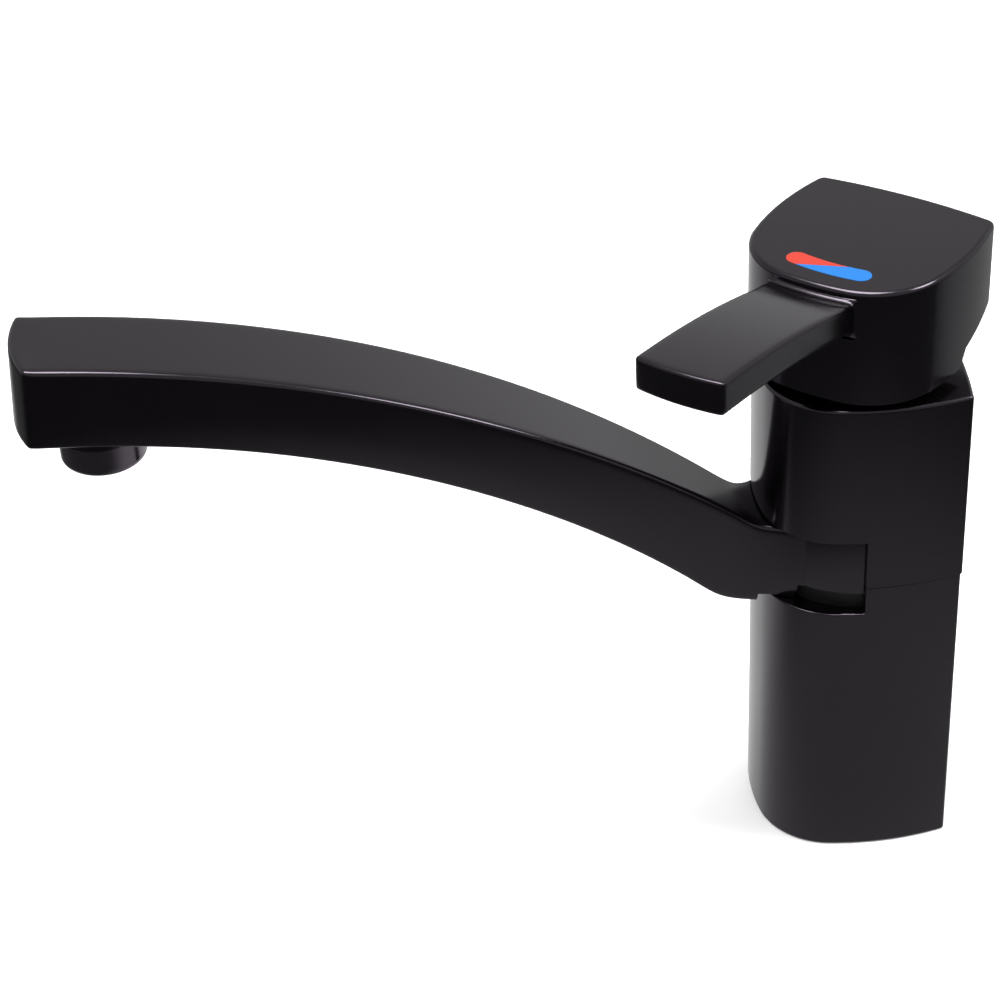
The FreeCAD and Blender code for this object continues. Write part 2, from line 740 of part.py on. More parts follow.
def drawSpoutPlan(sketch):
    # Plan of the spout inside a rectangle: what lies between them is cut away. The sides flare into
    # the collar and are widest past the middle.
    widest = -size.spoutWidestAt.value
    half = (size.spoutWidest / 2).value
    rootSide = (half - size.rootSideRadius.value, widest)
    tipSide = (half - size.tipSideRadius.value, widest)
    flare = crossing((0, 0), (size.collarRadius + size.flareRadius).value,
                     rootSide, (size.rootSideRadius + size.flareRadius).value, 1)
    drumTouch = toward((0, 0), size.collarRadius.value, flare)
    flareEnd = toward(rootSide, size.rootSideRadius.value, flare)
    farY = -(size.spoutReach + size.tipBow).value
    tipX = tipSide[0] + math.sqrt(size.tipSideRadius.value ** 2 - (farY - widest) ** 2)

    def mirrored(point):
        return (-point[0], point[1])

    view = Outline(sketch)
    view.bend(mirrored(drumTouch), drumTouch, (0, 0), size.collarRadius, False, smooth=True)
    flareRight = view.bend(drumTouch, flareEnd, flare, size.flareRadius, True, smooth=True)
    rootRight = view.bend(flareEnd, (half, widest), rootSide, size.rootSideRadius, False, smooth=True)
    tipRight = view.bend((half, widest), (tipX, farY), tipSide, size.tipSideRadius, False)
    end = view.line((tipX, farY), (-tipX, farY))
    tipLeft = view.bend((-tipX, farY), (-half, widest), mirrored(tipSide), size.tipSideRadius, False)
    rootLeft = view.bend((-half, widest), mirrored(flareEnd), mirrored(rootSide),
                         size.rootSideRadius, False)
    view.bend(mirrored(flareEnd), mirrored(drumTouch), mirrored(flare), size.flareRadius, True,
              smooth=True)
    view.join()
    pin(sketch, 0, 3, 0, 0)
    for side, rootEdge, tipEdge in ((1, rootRight, tipRight), (-1, rootLeft, tipLeft)):
        pin(sketch, rootEdge, 3, side * (size.spoutWidest / 2 - size.rootSideRadius), -size.spoutWidestAt)
        constrain(sketch, "DistanceY", -1, 1, tipEdge, 3, -size.spoutWidestAt)
    view.place(tipRight, y=-size.spoutWidestAt)
    view.place(rootLeft, y=-size.spoutWidestAt)
    view.place(end, y=-(size.spoutReach + size.tipBow))
    view.place(end, y=-(size.spoutReach + size.tipBow), end=True)
    return flareRight


def makeSpout():
    # The swivelling spout, a hollow casting with its collar.
    body = newBody("spout")
    side = sketchOn(body, "spout_side", "YZ_Plane")
    drawSpoutSide(side)
    pad(body, "spout_block", side, size.columnWidth * 2, symmetric=True)
    plan = sketchOn(body, "spout_plan", "XY_Plane")
    drawSpoutPlan(plan)
    rectangle(plan, 0, -(size.spoutReach + size.tipBow) / 2, size.columnWidth * 3,
              (size.spoutReach + size.tipBow) * 2)
    pocket(body, "spout_sides", plan, columnTop * 4, symmetric=True)
    tip = sketchOn(body, "tip_plan", "XY_Plane")
    tip.AttachmentOffset = Placement(Vector(0, -size.spoutReach.value, tipMiddle.value),
                                     Rotation(Vector(1, 0, 0), -size.tipLean.value))
    bind(tip, "AttachmentOffset.Base.y", -size.spoutReach)
    bind(tip, "AttachmentOffset.Base.z", tipMiddle)
    bind(tip, "AttachmentOffset.Rotation.Angle", -size.tipLean)
    drawTipCut(tip)
    pocket(body, "tip_end", tip, columnTop, symmetric=True)
    roundEdges(body, "spout_round", size.spoutEdgeRound, isSpoutEdge)
    collar = sketchOn(body, "collar_plan", "XY_Plane", collarBottom)
    circle(collar, 0, 0, size.collarRadius)
    pad(body, "collar", collar, collarTop - collarBottom)
    relief = sketchOn(body, "ledge_relief_plan", "XY_Plane", windowBottom + size.ledgeRoom)
    circle(relief, 0, 0, size.columnWidth / 2 + size.ledgeReach)
    pocket(body, "ledge_relief", relief, size.heelRound)
    boss = sketchOn(body, "outlet_boss_plan", "XY_Plane", aeratorFace)
    circle(boss, 0, -aeratorAlong, size.aeratorRadius)
    pad(body, "outlet_boss", boss, tipMiddle - aeratorFace)
    bore = sketchOn(body, "collar_bore_plan", "XY_Plane", collarTop)
    circle(bore, 0, 0, collarBore)
    pocket(body, "collar_bore", bore, collarTop - collarBottom)
    mouth = sketchOn(body, "outlet_plan", "XY_Plane", aeratorFace)
    circle(mouth, 0, -aeratorAlong, size.aeratorThreadRadius)
    pocket(body, "outlet", mouth, size.aeratorDepth, backward=True)
    way = sketchOn(body, "waterway_path", "YZ_Plane")
    drawWaterway(way)
    section = sketchOn(body, "waterway_section", "XZ_Plane", size.journalRadius)
    circle(section, 0, waterMiddle, size.waterwayRadius)
    pipe = feature(body, "PartDesign::SubtractivePipe", "waterway", section)
    pipe.Spine = way
    way.Visibility = False
    return body


def isSpoutEdge(edge, middle):
    # The long edges of the arch and the rim of its end face, clear of the neck.
    return middle.y < -size.spoutWidestAt.value / 2


def drawWaterway(sketch):
    # Centre line of the water's way: level out of the collar, an elbow, then along the arch.
    middle = (-(topArcAlong + underArcAlong).value / 2,
              -(topArcDown + underArcDown).value / 2)
    radius = (size.topArcRadius + size.underArcRadius) / 2
    level = waterMiddle.value
    elbow = archRound(middle, radius.value, size.waterwayElbow.value, level + size.waterwayElbow.value)
    elbowEnd = toward(middle, radius.value, elbow)
    start = -size.journalRadius
    far = -aeratorAlong
    view = Outline(sketch)
    first = view.line((start.value, level), (elbow[0], level))
    view.bend((elbow[0], level), elbowEnd, elbow, size.waterwayElbow, False, smooth=True)
    arch = view.bend(elbowEnd, onArch(middle, radius.value, far.value), middle, radius, True, smooth=True)
    view.join(closed=False)
    view.place(first, start, waterMiddle)
    constrain(sketch, "DistanceY", -1, 1, first, 2, waterMiddle)
    pin(sketch, arch, 3, -(topArcAlong + underArcAlong) / 2,
        -(topArcDown + underArcDown) / 2)
    view.place(arch, x=far, end=True)


def drawTipCut(sketch):
    # Everything beyond the bowed end face.
    half = size.spoutWidest
    sag = math.sqrt(size.tipBow.value ** 2 - half.value ** 2)
    view = Outline(sketch)
    edgeY = size.tipBow.value - sag
    bow = view.bend((-half.value, edgeY), (half.value, edgeY), (0, size.tipBow.value), size.tipBow, True)
    right = view.line((half.value, edgeY), (half.value, -half.value * 2))
    low = view.line((half.value, -half.value * 2), (-half.value, -half.value * 2))
    left = view.line((-half.value, -half.value * 2), (-half.value, edgeY))
    view.join()
    pin(sketch, bow, 3, 0, size.tipBow)
    view.place(right, x=half)
    view.place(low, x=half, y=-half * 2)
    view.place(left, x=-half, y=-half * 2)
    view.place(left, x=-half, end=True)


# The lever's arches, as heights over their distance from the swivel axis.
leverLean = math.radians(size.leverTipSlope.value)


def leverHeight(tipHeight, radius, along):
    centreAlong = size.leverReach.value + radius.value * math.sin(leverLean)
    centreHeight = tipHeight.value - radius.value * math.cos(leverLean)
    return centreHeight + math.sqrt(radius.value ** 2 - (centreAlong - along) ** 2)


leverTipUnder = leverTipTop - size.leverTipThick
leverRootTop = asSize(leverHeight(leverTipTop, size.leverTopArc, size.columnFront.value))
leverHeelHeight = leverHeight(leverTipUnder, size.leverUnderArc, size.columnFront.value)
leverRootBottom = asSize(leverHeelHeight) - size.leverRootDrop
leverRootMiddle = (leverRootTop + leverRootBottom) / 2
leverRootHeight = leverRootTop - leverRootBottom


def drawCapSideNotch(sketch):
    # The back of the cap is cut away below, so that it clears the column when the lever lifts.
    low = capBottom - size.notchStep
    slope = (notchEndHeight - notchStepHeight) / (size.columnBack - size.notchStep)
    far = size.columnBack * 2
    polygon(sketch, [(size.notchStart, low), (far, low),
                     (far, notchStepHeight + slope * (far - size.notchStep)),
                     (size.notchStep, notchStepHeight), (size.notchStart, capBottom)])


def drawMark(sketch, inset):
    # A curved oblong that follows the front edge, with round ends.
    middle = size.frontRadius - size.markInset
    half = size.markWidth / 2 - inset
    centre = (0.0, (size.frontRadius - size.columnFront).value)
    reach = size.markLength / 2 - size.markWidth / 2
    lean = math.asin(reach.value / middle.value)

    def spot(radius, angle):
        return (centre[0] + radius * math.sin(angle), centre[1] - radius * math.cos(angle))

    outer, inner = middle + half, middle - half
    view = Outline(sketch)
    front = view.bend(spot(outer.value, -lean), spot(outer.value, lean), centre, outer, True, smooth=True)
    right = view.bend(spot(outer.value, lean), spot(inner.value, lean), spot(middle.value, lean), half,
                      True, smooth=True, held=False)
    back = view.bend(spot(inner.value, lean), spot(inner.value, -lean), centre, inner, False, smooth=True)
    left = view.bend(spot(inner.value, -lean), spot(outer.value, -lean), spot(middle.value, -lean), half,
                     True, smooth=True, held=False)
    view.join()
    pin(sketch, front, 3, 0, size.frontRadius - size.columnFront)
    pin(sketch, back, 3, 0, size.frontRadius - size.columnFront)
    constrain(sketch, "DistanceX", -1, 1, right, 3, reach)
    constrain(sketch, "DistanceX", -1, 1, left, 3, -reach)


def makeHandleCap():
    # Hollow cap with the column's plan, a hub for the stem and a pocket for the lever's root.
    body = newBody("handle_cap")
    plan = sketchOn(body, "cap_plan", "XY_Plane", capBottom)
    dOutline(plan, 0)
    pad(body, "cap_block", plan, capTop - capBottom)
    roundEdges(body, "cap_round", size.edgeRound,
               lambda edge, middle: abs(middle.z - capTop.value) < 0.01)
    notch = sketchOn(body, "cap_notch", "YZ_Plane")
    drawCapSideNotch(notch)
    pocket(body, "notch", notch, size.columnWidth * 2, symmetric=True)
    hollow = sketchOn(body, "cap_hollow", "XY_Plane", capTop - size.capRoof)
    circle(hollow, 0, 0, size.capHollowRadius)
    pocket(body, "hollow", hollow, capTop - size.capRoof - capBottom)
    hub = sketchOn(body, "hub_plan", "XY_Plane", hubBottom)
    circle(hub, 0, 0, size.hubRadius)
    pad(body, "hub", hub, capTop - size.capRoof - hubBottom)
    socket = sketchOn(body, "stem_socket", "XY_Plane", stemTop + size.layerGap)
    rectangle(socket, 0, 0, size.stemWidth + size.runningFit * 2, size.stemDepth + size.runningFit * 2)
    pocket(body, "socket", socket, stemTop + size.layerGap - hubBottom)
    grub = sketchOn(body, "grub_hole", "XZ_Plane")
    circle(grub, 0, grubHeight, size.grubRadius + size.runningFit)
    pocket(body, "grub_bore", grub, size.columnBack * 2)
    seat = sketchOn(body, "lever_seat", "XZ_Plane", size.columnFront - size.leverRootDepth)
    rectangle(seat, 0, leverRootMiddle, size.leverWidth + size.leverFit * 2,
              leverRootHeight + size.leverFit * 2)
    pocket(body, "lever_pocket", seat, size.columnFront, backward=True)
    seat = sketchOn(body, "screw_seat_plan", "XZ_Plane", size.capHollowRadius - size.screwHeadHeight)
    circle(seat, 0, leverScrewHeight, size.leverScrewHead + size.runningFit)
    pocket(body, "screw_seat", seat, size.screwHeadHeight + size.screwSeatDepth, backward=True)
    screw = sketchOn(body, "lever_screw_hole", "XZ_Plane", size.capHollowRadius)
    circle(screw, 0, leverScrewHeight, size.leverScrewRadius)
    pocket(body, "screw_bore", screw, size.leverRootDepth * 2, backward=True)
    mark = sketchOn(body, "mark_recess", "XY_Plane", capTop)
    drawMark(mark, asSize(0.0))
    pocket(body, "recess", mark, size.markDepth)
    return body


def drawLeverSide(sketch):
    # Side view of the lever: a short root, an arched top, an arched underside and a heel below the root.
    rootX = -(size.columnFront - size.leverRootDepth)
    faceX = -size.columnFront
    tipX = -size.leverReach
    topCentre = (tipX.value - size.leverTopArc.value * math.sin(leverLean),
                 leverTipTop.value - size.leverTopArc.value * math.cos(leverLean))
    underCentre = (tipX.value - size.leverUnderArc.value * math.sin(leverLean),
                   leverTipUnder.value - size.leverUnderArc.value * math.cos(leverLean))
    heelX = faceX.value - size.leverRootRound.value
    heelEnd = onArch(underCentre, size.leverUnderArc.value, heelX)
    view = Outline(sketch)
    faceTop = (faceX.value, leverRootTop.value)
    upper = view.line((rootX.value, leverRootTop.value), faceTop)
    view.bend(faceTop, (tipX.value, leverTipTop.value), topCentre, size.leverTopArc, True)
    tip = view.line((tipX.value, leverTipTop.value), (tipX.value, leverTipUnder.value))
    underArch = view.bend((tipX.value, leverTipUnder.value), heelEnd, underCentre, size.leverUnderArc, False)
    heel = view.line(heelEnd, (faceX.value, leverRootBottom.value))
    lower = view.line((faceX.value, leverRootBottom.value), (rootX.value, leverRootBottom.value))
    back = view.line((rootX.value, leverRootBottom.value), (rootX.value, leverRootTop.value))
    view.join()
    view.place(upper, rootX, leverRootTop)
    view.place(upper, faceX, leverRootTop, end=True)
    view.place(tip, tipX, leverTipTop)
    view.place(underArch, tipX, leverTipUnder)
    view.place(heel, x=heelX)
    view.place(heel, faceX, leverRootBottom, end=True)
    view.place(back, rootX, leverRootBottom)
    constrain(sketch, "DistanceX", -1, 1, underArch, 3, underCentre[0])


def makeHandleLever():
    # Arched flat lever, plugged into the cap's front and held by a screw from inside the cap.
    body = newBody("handle_lever")
    side = sketchOn(body, "lever_side", "YZ_Plane")
    drawLeverSide(side)
    pad(body, "lever_block", side, size.leverWidth, symmetric=True)
    tip = sketchOn(body, "lever_tip_plan", "XY_Plane")
    half = size.leverWidth
    sag = math.sqrt(size.leverTipBow.value ** 2 - half.value ** 2)
    edgeY = size.leverTipBow.value - sag - size.leverReach.value
    low = -(size.leverReach + half)
    view = Outline(tip)
    bow = view.bend((-half.value, edgeY), (half.value, edgeY),
                    (0, (size.leverTipBow - size.leverReach).value), size.leverTipBow, True)
    right = view.line((half.value, edgeY), (half.value, low.value))
    end = view.line((half.value, low.value), (-half.value, low.value))
    left = view.line((-half.value, low.value), (-half.value, edgeY))
    view.join()
    pin(tip, bow, 3, 0, size.leverTipBow - size.leverReach)
    view.place(right, x=half)
    view.place(end, half, low)
    view.place(left, -half, low)
    view.place(left, x=-half, end=True)
    pocket(body, "lever_tip", tip, capTop * 4, symmetric=True)
    roundEdges(body, "lever_round", size.leverEdgeRound,
               lambda edge, middle: middle.y < -size.columnFront.value - size.leverRootRound.value)
    hole = sketchOn(body, "lever_screw_thread", "XZ_Plane", size.columnFront - size.leverRootDepth)
    circle(hole, 0, leverScrewHeight, size.leverScrewRadius)
    pocket(body, "screw_thread", hole, size.leverScrewDepth, backward=True)
    return body


def keySocket(body, name, plane, offset, x, y, radius, depth, backward):
    # Six-sided key socket.
    sketch = sketchOn(body, name + "_plan", plane, offset)
    corners = []
    for i in range(6):
        angle = math.radians(60 * i)
        corners.append((asSize(x) + radius * math.cos(angle), asSize(y) + radius * math.sin(angle)))
    polygon(sketch, corners)
    pocket(body, name, sketch, depth, backward=backward)


def makeBodyScrew(label, side):
    # Cap screw from below the stage up into the upper column.
    x, y = side * size.bodyScrewSide, size.bodyScrewBack
    body = newBody(label)
    head = sketchOn(body, label + "_head_plan", "XY_Plane", stageBottom)
    circle(head, x, y, size.bodyScrewHead)
    pad(body, label + "_head", head, size.screwHeadHeight, backward=True)
    shank = sketchOn(body, label + "_shank_plan", "XY_Plane", stageBottom)
    circle(shank, x, y, size.bodyScrewRadius - size.runningFit)
    pad(body, label + "_shank", shank, size.bodyScrewLength)
    keySocket(body, label + "_key", "XY_Plane", stageBottom - size.screwHeadHeight, x, y,
              size.bodyScrewRadius * 0.8, size.screwHeadHeight * 0.6, True)
    return body


def makeLeverScrew():
    # Cap screw from inside the cap out into the lever's root.
    body = newBody("lever_screw")
    seat = size.capHollowRadius + size.screwSeatDepth
    head = sketchOn(body, "lever_screw_head_plan", "XZ_Plane", seat)
    circle(head, 0, leverScrewHeight, size.leverScrewHead)
    pad(body, "lever_screw_head", head, size.screwHeadHeight, backward=True)
    shank = sketchOn(body, "lever_screw_shank_plan", "XZ_Plane", seat)
    circle(shank, 0, leverScrewHeight, size.leverScrewRadius - size.runningFit)
    reach = size.columnFront - size.leverRootDepth + size.leverScrewDepth * 0.9 - seat
    pad(body, "lever_screw_shank", shank, reach)
    keySocket(body, "lever_screw_key", "XZ_Plane", seat - size.screwHeadHeight, 0, leverScrewHeight,
              size.leverScrewRadius * 0.8, size.screwHeadHeight * 0.6, True)
    return body


def makeGrubScrew():
    # Set screw in the back of the hub, tight against the stem.
    body = newBody("grub_screw")
    start = size.stemDepth / 2
    end = sketchOn(body, "grub_plan", "XZ_Plane", -start)
    circle(end, 0, grubHeight, size.grubRadius)
    pad(body, "grub", end, size.grubLength, backward=True)
    keySocket(body, "grub_key", "XZ_Plane", -(start + size.grubLength), 0, grubHeight,
              size.grubRadius * 0.6, size.grubLength * 0.4, True)
    return body


def makeMark(label, hot):
    # One half of the hot and cold mark: the curved oblong, parted by a slanting line.
    body = newBody(label)
    plan = sketchOn(body, label + "_plan", "XY_Plane", capTop - size.markDepth)
    drawMark(plan, size.leverFit)
    pad(body, label + "_block", plan, size.markDepth)
    cut = sketchOn(body, label + "_slant", "XY_Plane", capTop)
    middleY = size.markInset + size.markOffset - size.columnFront
    reach = size.markLength
    rise = reach * size.markWidth / size.markSlant
    gap = -size.leverFit / 2 if hot else size.leverFit / 2
    side = -reach if hot else reach
    polygon(cut, [(-reach, middleY - rise - gap), (reach, middleY + rise - gap),
                  (reach, middleY + side * 2), (-reach, middleY + side * 2)])
    pocket(body, label + "_cut", cut, size.markDepth)
    return body


def makeStem():
    # Square stem with a ball-ended tongue that pushes the disc carrier, hung on the pivot pin.
    body = newBody("stem")
    shoulder = pivotHeight - size.stemDrop / 2
    ball = pivotHeight - size.stemDrop
    block = sketchOn(body, "stem_block_side", "YZ_Plane")
    rectangle(block, 0, (shoulder + stemTop) / 2, size.stemDepth, stemTop - shoulder)
    pad(body, "stem_block", block, size.stemWidth, symmetric=True)
    tongue = sketchOn(body, "stem_tongue_side", "YZ_Plane")
    rectangle(tongue, 0, (shoulder + ball) / 2, size.stemTongue, shoulder - ball)
    pad(body, "stem_tongue", tongue, size.stemWidth, symmetric=True)
    end = sketchOn(body, "stem_ball_side", "YZ_Plane")
    circle(end, 0, ball, size.stemBall)
    pad(body, "stem_ball", end, size.stemWidth, symmetric=True)
    hole = sketchOn(body, "stem_pin_hole", "YZ_Plane")
    circle(hole, 0, pivotHeight, size.pinRadius + size.runningFit)
    pocket(body, "pin_hole", hole, size.stemWidth * 2, symmetric=True)
    return body


def makeStemGuide():
    # Turns in the cartridge's neck, carries the pin, and holds the disc carrier's boss in its slot.
    low = carrierFloor + size.carrierPlate + size.layerGap
    flangeTop = low + size.guideFlangeHeight
    top = housingTop - size.layerGap
    body = turned("stem_guide", [(0, low), (size.guideFlange, low), (size.guideFlange, flangeTop),
                                 (size.guideRadius, flangeTop), (size.guideRadius, top), (0, top)])
    slot = sketchOn(body, "carrier_slot", "XY_Plane", low)
    rectangle(slot, 0, 0, size.carrierWidth + size.runningFit * 2, guideSlotLength)
    pocket(body, "carrier_room", slot, carrierTop + size.layerGap * 10 - low, backward=True)
    gap = sketchOn(body, "stem_slot", "XY_Plane", top)
    rectangle(gap, 0, 0, size.stemWidth + size.runningFit * 2, guideSlotLength - size.stemTongue * 2)
    pocket(body, "stem_room", gap, top - low)
    hole = sketchOn(body, "guide_pin_hole", "YZ_Plane")
    circle(hole, 0, pivotHeight, size.pinRadius)
    pocket(body, "pin_hole", hole, size.guideRadius * 2, symmetric=True)
    return body


def makePivotPin():
    body = newBody("pivot_pin")
    end = sketchOn(body, "pin_end", "YZ_Plane")
    circle(end, 0, pivotHeight, size.pinRadius)
    pad(body, "pin", end, size.guideRadius * 2 - size.layerGap * 10, symmetric=True)
    return body


def makeDiscCarrier():
    # Plate on the moving disc with a boss whose socket takes the stem's ball.
    body = newBody("disc_carrier")
    plate = sketchOn(body, "carrier_plate_plan", "XY_Plane", carrierFloor)
    circle(plate, 0, 0, size.movingDiscRadius)
    pad(body, "carrier_plate", plate, size.carrierPlate)
    boss = sketchOn(body, "carrier_boss_plan", "XY_Plane", carrierFloor)
    rectangle(boss, 0, 0, size.carrierWidth, size.carrierLength)
    pad(body, "carrier_boss", boss, carrierTop - carrierFloor)
    socket = sketchOn(body, "carrier_socket_plan", "XY_Plane", carrierTop)
    rectangle(socket, 0, 0, size.stemWidth + size.runningFit * 4, size.stemBall * 2 + size.runningFit * 2)
    depth = carrierTop - pivotHeight + size.stemDrop + size.stemBall + size.layerGap * 2
    pocket(body, "carrier_socket", socket, depth)
    return body


def makeMovingDisc():
    # Ceramic disc with a mixing hollow in its underside, which joins the ports as it slides.
    body = newBody("moving_disc")
    plan = sketchOn(body, "moving_disc_plan", "XY_Plane", movingFloor)
    circle(plan, 0, 0, size.movingDiscRadius)
    pad(body, "moving_disc_block", plan, size.discHeight)
    hollow = sketchOn(body, "mixing_hollow_plan", "XY_Plane", movingFloor)
    circle(hollow, 0, size.hollowBack, size.hollowRadius)
    pocket(body, "mixing_hollow", hollow, size.hollowDepth, backward=True)
    return body


portCentres = {
    "hot": (-size.supplySide, -size.supplyFront),
    "cold": (size.supplySide, -size.supplyFront),
    "mixed": (asSize(0.0), size.mixedBack),
}


def makePortPlate(label, radius, bottom, height):
    # A round plate with the hot, cold and mixed ports.
    body = newBody(label)
    plan = sketchOn(body, label + "_plan", "XY_Plane", bottom)
    circle(plan, 0, 0, radius)
    for x, y in portCentres.values():
        circle(plan, x, y, size.portRadius)
    pad(body, label + "_block", plan, height)
    return body


def makePortSeal(port):
    label = "port_seal_" + port
    x, y = portCentres[port]
    body = newBody(label)
    plan = sketchOn(body, label + "_plan", "XY_Plane", chamberFloor)
    circle(plan, x, y, size.portRadius + size.portSealWidth)
    circle(plan, x, y, size.portRadius)
    pad(body, label + "_ring", plan, size.portSealHeight)
    return body


def makeCartridgeNut():
    # Clamp ring in the chamber, with slots for a pin spanner.
    rim = size.chamberRadius - size.runningFit
    inner = neckRadius + size.nutInnerGap
    top = columnTop - size.nutInset
    body = turned("cartridge_nut", [(inner, housingShoulder), (rim, housingShoulder),
                                    (rim, top), (inner, top)])
    slot = sketchOn(body, "nut_slot_plan", "XY_Plane", top)
    rectangle(slot, (rim + inner) / 2, 0, size.chamberRadius / 2, size.nutSlot)
    cut = pocket(body, "nut_slot", slot, (top - housingShoulder) / 2)
    doc.recompute()
    pattern = body.newObject("PartDesign::PolarPattern", "nut_slots")
    pattern.Originals = [cut]
    pattern.Axis = (slot, ["N_Axis"])
    pattern.Angle = 360
    pattern.Occurrences = 6
    body.Tip = pattern
    return body


def makeCartridgeHousing():
    # Barrel over the discs and a neck for the stem guide, with the clamp ring's shoulder between.
    barrelTop = carrierFloor + size.carrierPlate + size.guideFlangeHeight + size.layerGap * 2
    return turned("cartridge_housing", [
        (housingBore, discFloor), (size.cartridgeRadius, discFloor),
        (size.cartridgeRadius, housingShoulder), (neckRadius, housingShoulder),
        (neckRadius, housingTop), (neckBore, housingTop),
        (neckBore, barrelTop), (housingBore, barrelTop)])


def makeTrimRing():
    # Shallow dome over the clamp ring, standing on the column's top.
    inner = neckRadius + size.nutInnerGap
    foot = size.chamberRadius + size.runningFit
    wall = size.trimWall
    return turned("trim_ring", [
        (foot, columnTop), (size.trimRadius, columnTop),
        (size.trimRadius, columnTop + wall), (inner + wall, trimTop),
        (inner, trimTop), (inner, trimTop - wall), (foot, columnTop + wall / 2)])


def makeAeratorHousing(bore, inner):
    # Threaded cup in the spout's outlet, with two notches in its lip for a key.
    shelf = aeratorBottom + size.aeratorWall
    lip = inner - size.aeratorWall
    body = turned("aerator_housing", [
        (lip, aeratorBottom), (size.aeratorRadius, aeratorBottom), (size.aeratorRadius, aeratorFace),
        (bore, aeratorFace), (bore, aeratorTop), (inner, aeratorTop), (inner, shelf), (lip, shelf)])
    roundEdges(body, "aerator_round", size.aeratorRound,
               lambda edge, middle: middle.z < aeratorBottom.value + 0.01
               and math.hypot(middle.x, middle.y) > inner.value)
    notches = sketchOn(body, "key_notches", "XY_Plane", aeratorBottom)
    rectangle(notches, 0, 0, inner * 2, size.keySlotWidth)
    pocket(body, "notches", notches, size.keySlotDepth, backward=True)
    return body


def makeAeratorInsert(inner):
    # Plug with straight ways that break the water into fine streams.
    shelf = aeratorBottom + size.aeratorWall
    body = newBody("aerator_insert")
    plug = sketchOn(body, "insert_plan", "XY_Plane", shelf)
    circle(plug, 0, 0, inner - size.runningFit)
    circle(plug, 0, 0, size.meshHole)
    for ring in (1, 2):
        count = 6 * ring
        for i in range(count):
            angle = 2 * math.pi * i / count
            circle(plug, size.meshPitch * (ring * math.cos(angle)),
                   size.meshPitch * (ring * math.sin(angle)), size.meshHole)
    pad(body, "insert_block", plug, aeratorTop - shelf)
    return body


def swung(yaw, along=0.0):
    # Where a piece drawn facing -Y comes to lie once turned about the swivel axis.
    turn = Rotation(Vector(0, 0, 1), yaw.value)
    return Placement(turn.multVec(Vector(0, -asSize(along).value, 0)), turn)


# Column.
makeUpperBody()
makeLowerShell()
makeBaseGasket()
makeBodyScrew("body_screw_left", -1)
makeBodyScrew("body_screw_right", 1)
makeTrimRing()
tube("upper_slide_ring", size.slideRingRadius, collarBore, collarTop + size.runningFit,
     windowTop - collarTop - size.runningFit)
tube("lower_slide_ring", size.slideRingRadius, collarBore, windowBottom,
     collarBottom - windowBottom)
for label, middle in (("upper_seal", sealMiddleHigh), ("lower_seal", sealMiddleLow)):
    tube(label, size.journalRadius, size.journalRadius - size.sealDepth,
         middle - size.sealWidth / 2, size.sealWidth)

# Cartridge.
for port in portCentres:
    makePortSeal(port)
makePortPlate("cartridge_base", size.cartridgeRadius, cartridgeFloor, size.baseHeight)
makePortPlate("fixed_disc", size.discRadius, discFloor, size.discHeight)
makeCartridgeHousing()
makeCartridgeNut()

# Spout group, turned to the spout's rest direction.
threadRadius = size.aeratorThreadRadius - size.runningFit
insertBore = threadRadius - size.aeratorWall
makeSpout().Placement = swung(size.spoutYaw)
for piece in (makeAeratorHousing(threadRadius, insertBore), makeAeratorInsert(insertBore),
              tube("aerator_washer", threadRadius, insertBore - size.aeratorWall, aeratorTop,
                   size.washerThickness)):
    piece.Placement = swung(size.spoutYaw, aeratorAlong)

# Handle group, turned to the lever's rest direction.
for piece in (makeMovingDisc(), makeDiscCarrier(), makeStemGuide(), makePivotPin(), makeStem(),
              makeHandleCap(), makeHandleLever(), makeMark("indicator_red", True),
              makeMark("indicator_blue", False), makeGrubScrew(), makeLeverScrew()):
    piece.Placement = swung(size.handleYaw)

doc.recompute()
for item in doc.Objects:
    if "Invalid" in item.State or "Error" in item.State:
        raise ValueError("%s is %s" % (item.Label, item.State))
os.makedirs("parts", exist_ok=True)
for body in subParts:
    shape = body.Shape
    if shape.isNull() or not shape.isValid() or len(shape.Solids) != 1:
        raise ValueError("%s has no sound solid" % body.Label)
for body in subParts:
    body.Shape.exportStep("parts/%s.step" % body.Label)
print("%d sub-parts written" % len(subParts))
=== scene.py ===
import bpy, bmesh, math
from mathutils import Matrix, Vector


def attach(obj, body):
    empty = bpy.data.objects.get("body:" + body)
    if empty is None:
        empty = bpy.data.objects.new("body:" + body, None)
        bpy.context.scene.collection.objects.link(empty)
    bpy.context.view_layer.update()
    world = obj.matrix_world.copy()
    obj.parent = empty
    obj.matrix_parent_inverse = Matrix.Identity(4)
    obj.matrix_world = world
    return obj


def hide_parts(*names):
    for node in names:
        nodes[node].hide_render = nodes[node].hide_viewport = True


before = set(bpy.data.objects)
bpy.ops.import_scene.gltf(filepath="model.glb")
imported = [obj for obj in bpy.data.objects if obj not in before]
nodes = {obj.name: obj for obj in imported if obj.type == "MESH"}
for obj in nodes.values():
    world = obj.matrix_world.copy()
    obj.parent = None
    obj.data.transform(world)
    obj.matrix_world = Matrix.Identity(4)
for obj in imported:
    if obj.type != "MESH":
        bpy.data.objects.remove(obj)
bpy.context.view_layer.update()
print("frame loaded:", len(nodes), "nodes")


cameraView = {
    "place": (0.5120041, -0.1290699, 0.4555676),
    "turn": (55.386303, 2.602970, 83.482292),    # degrees about X, Y and Z
    "lens": 93.07, "sensor": 36,    # millimetres
    "nearest": 0.01,
}


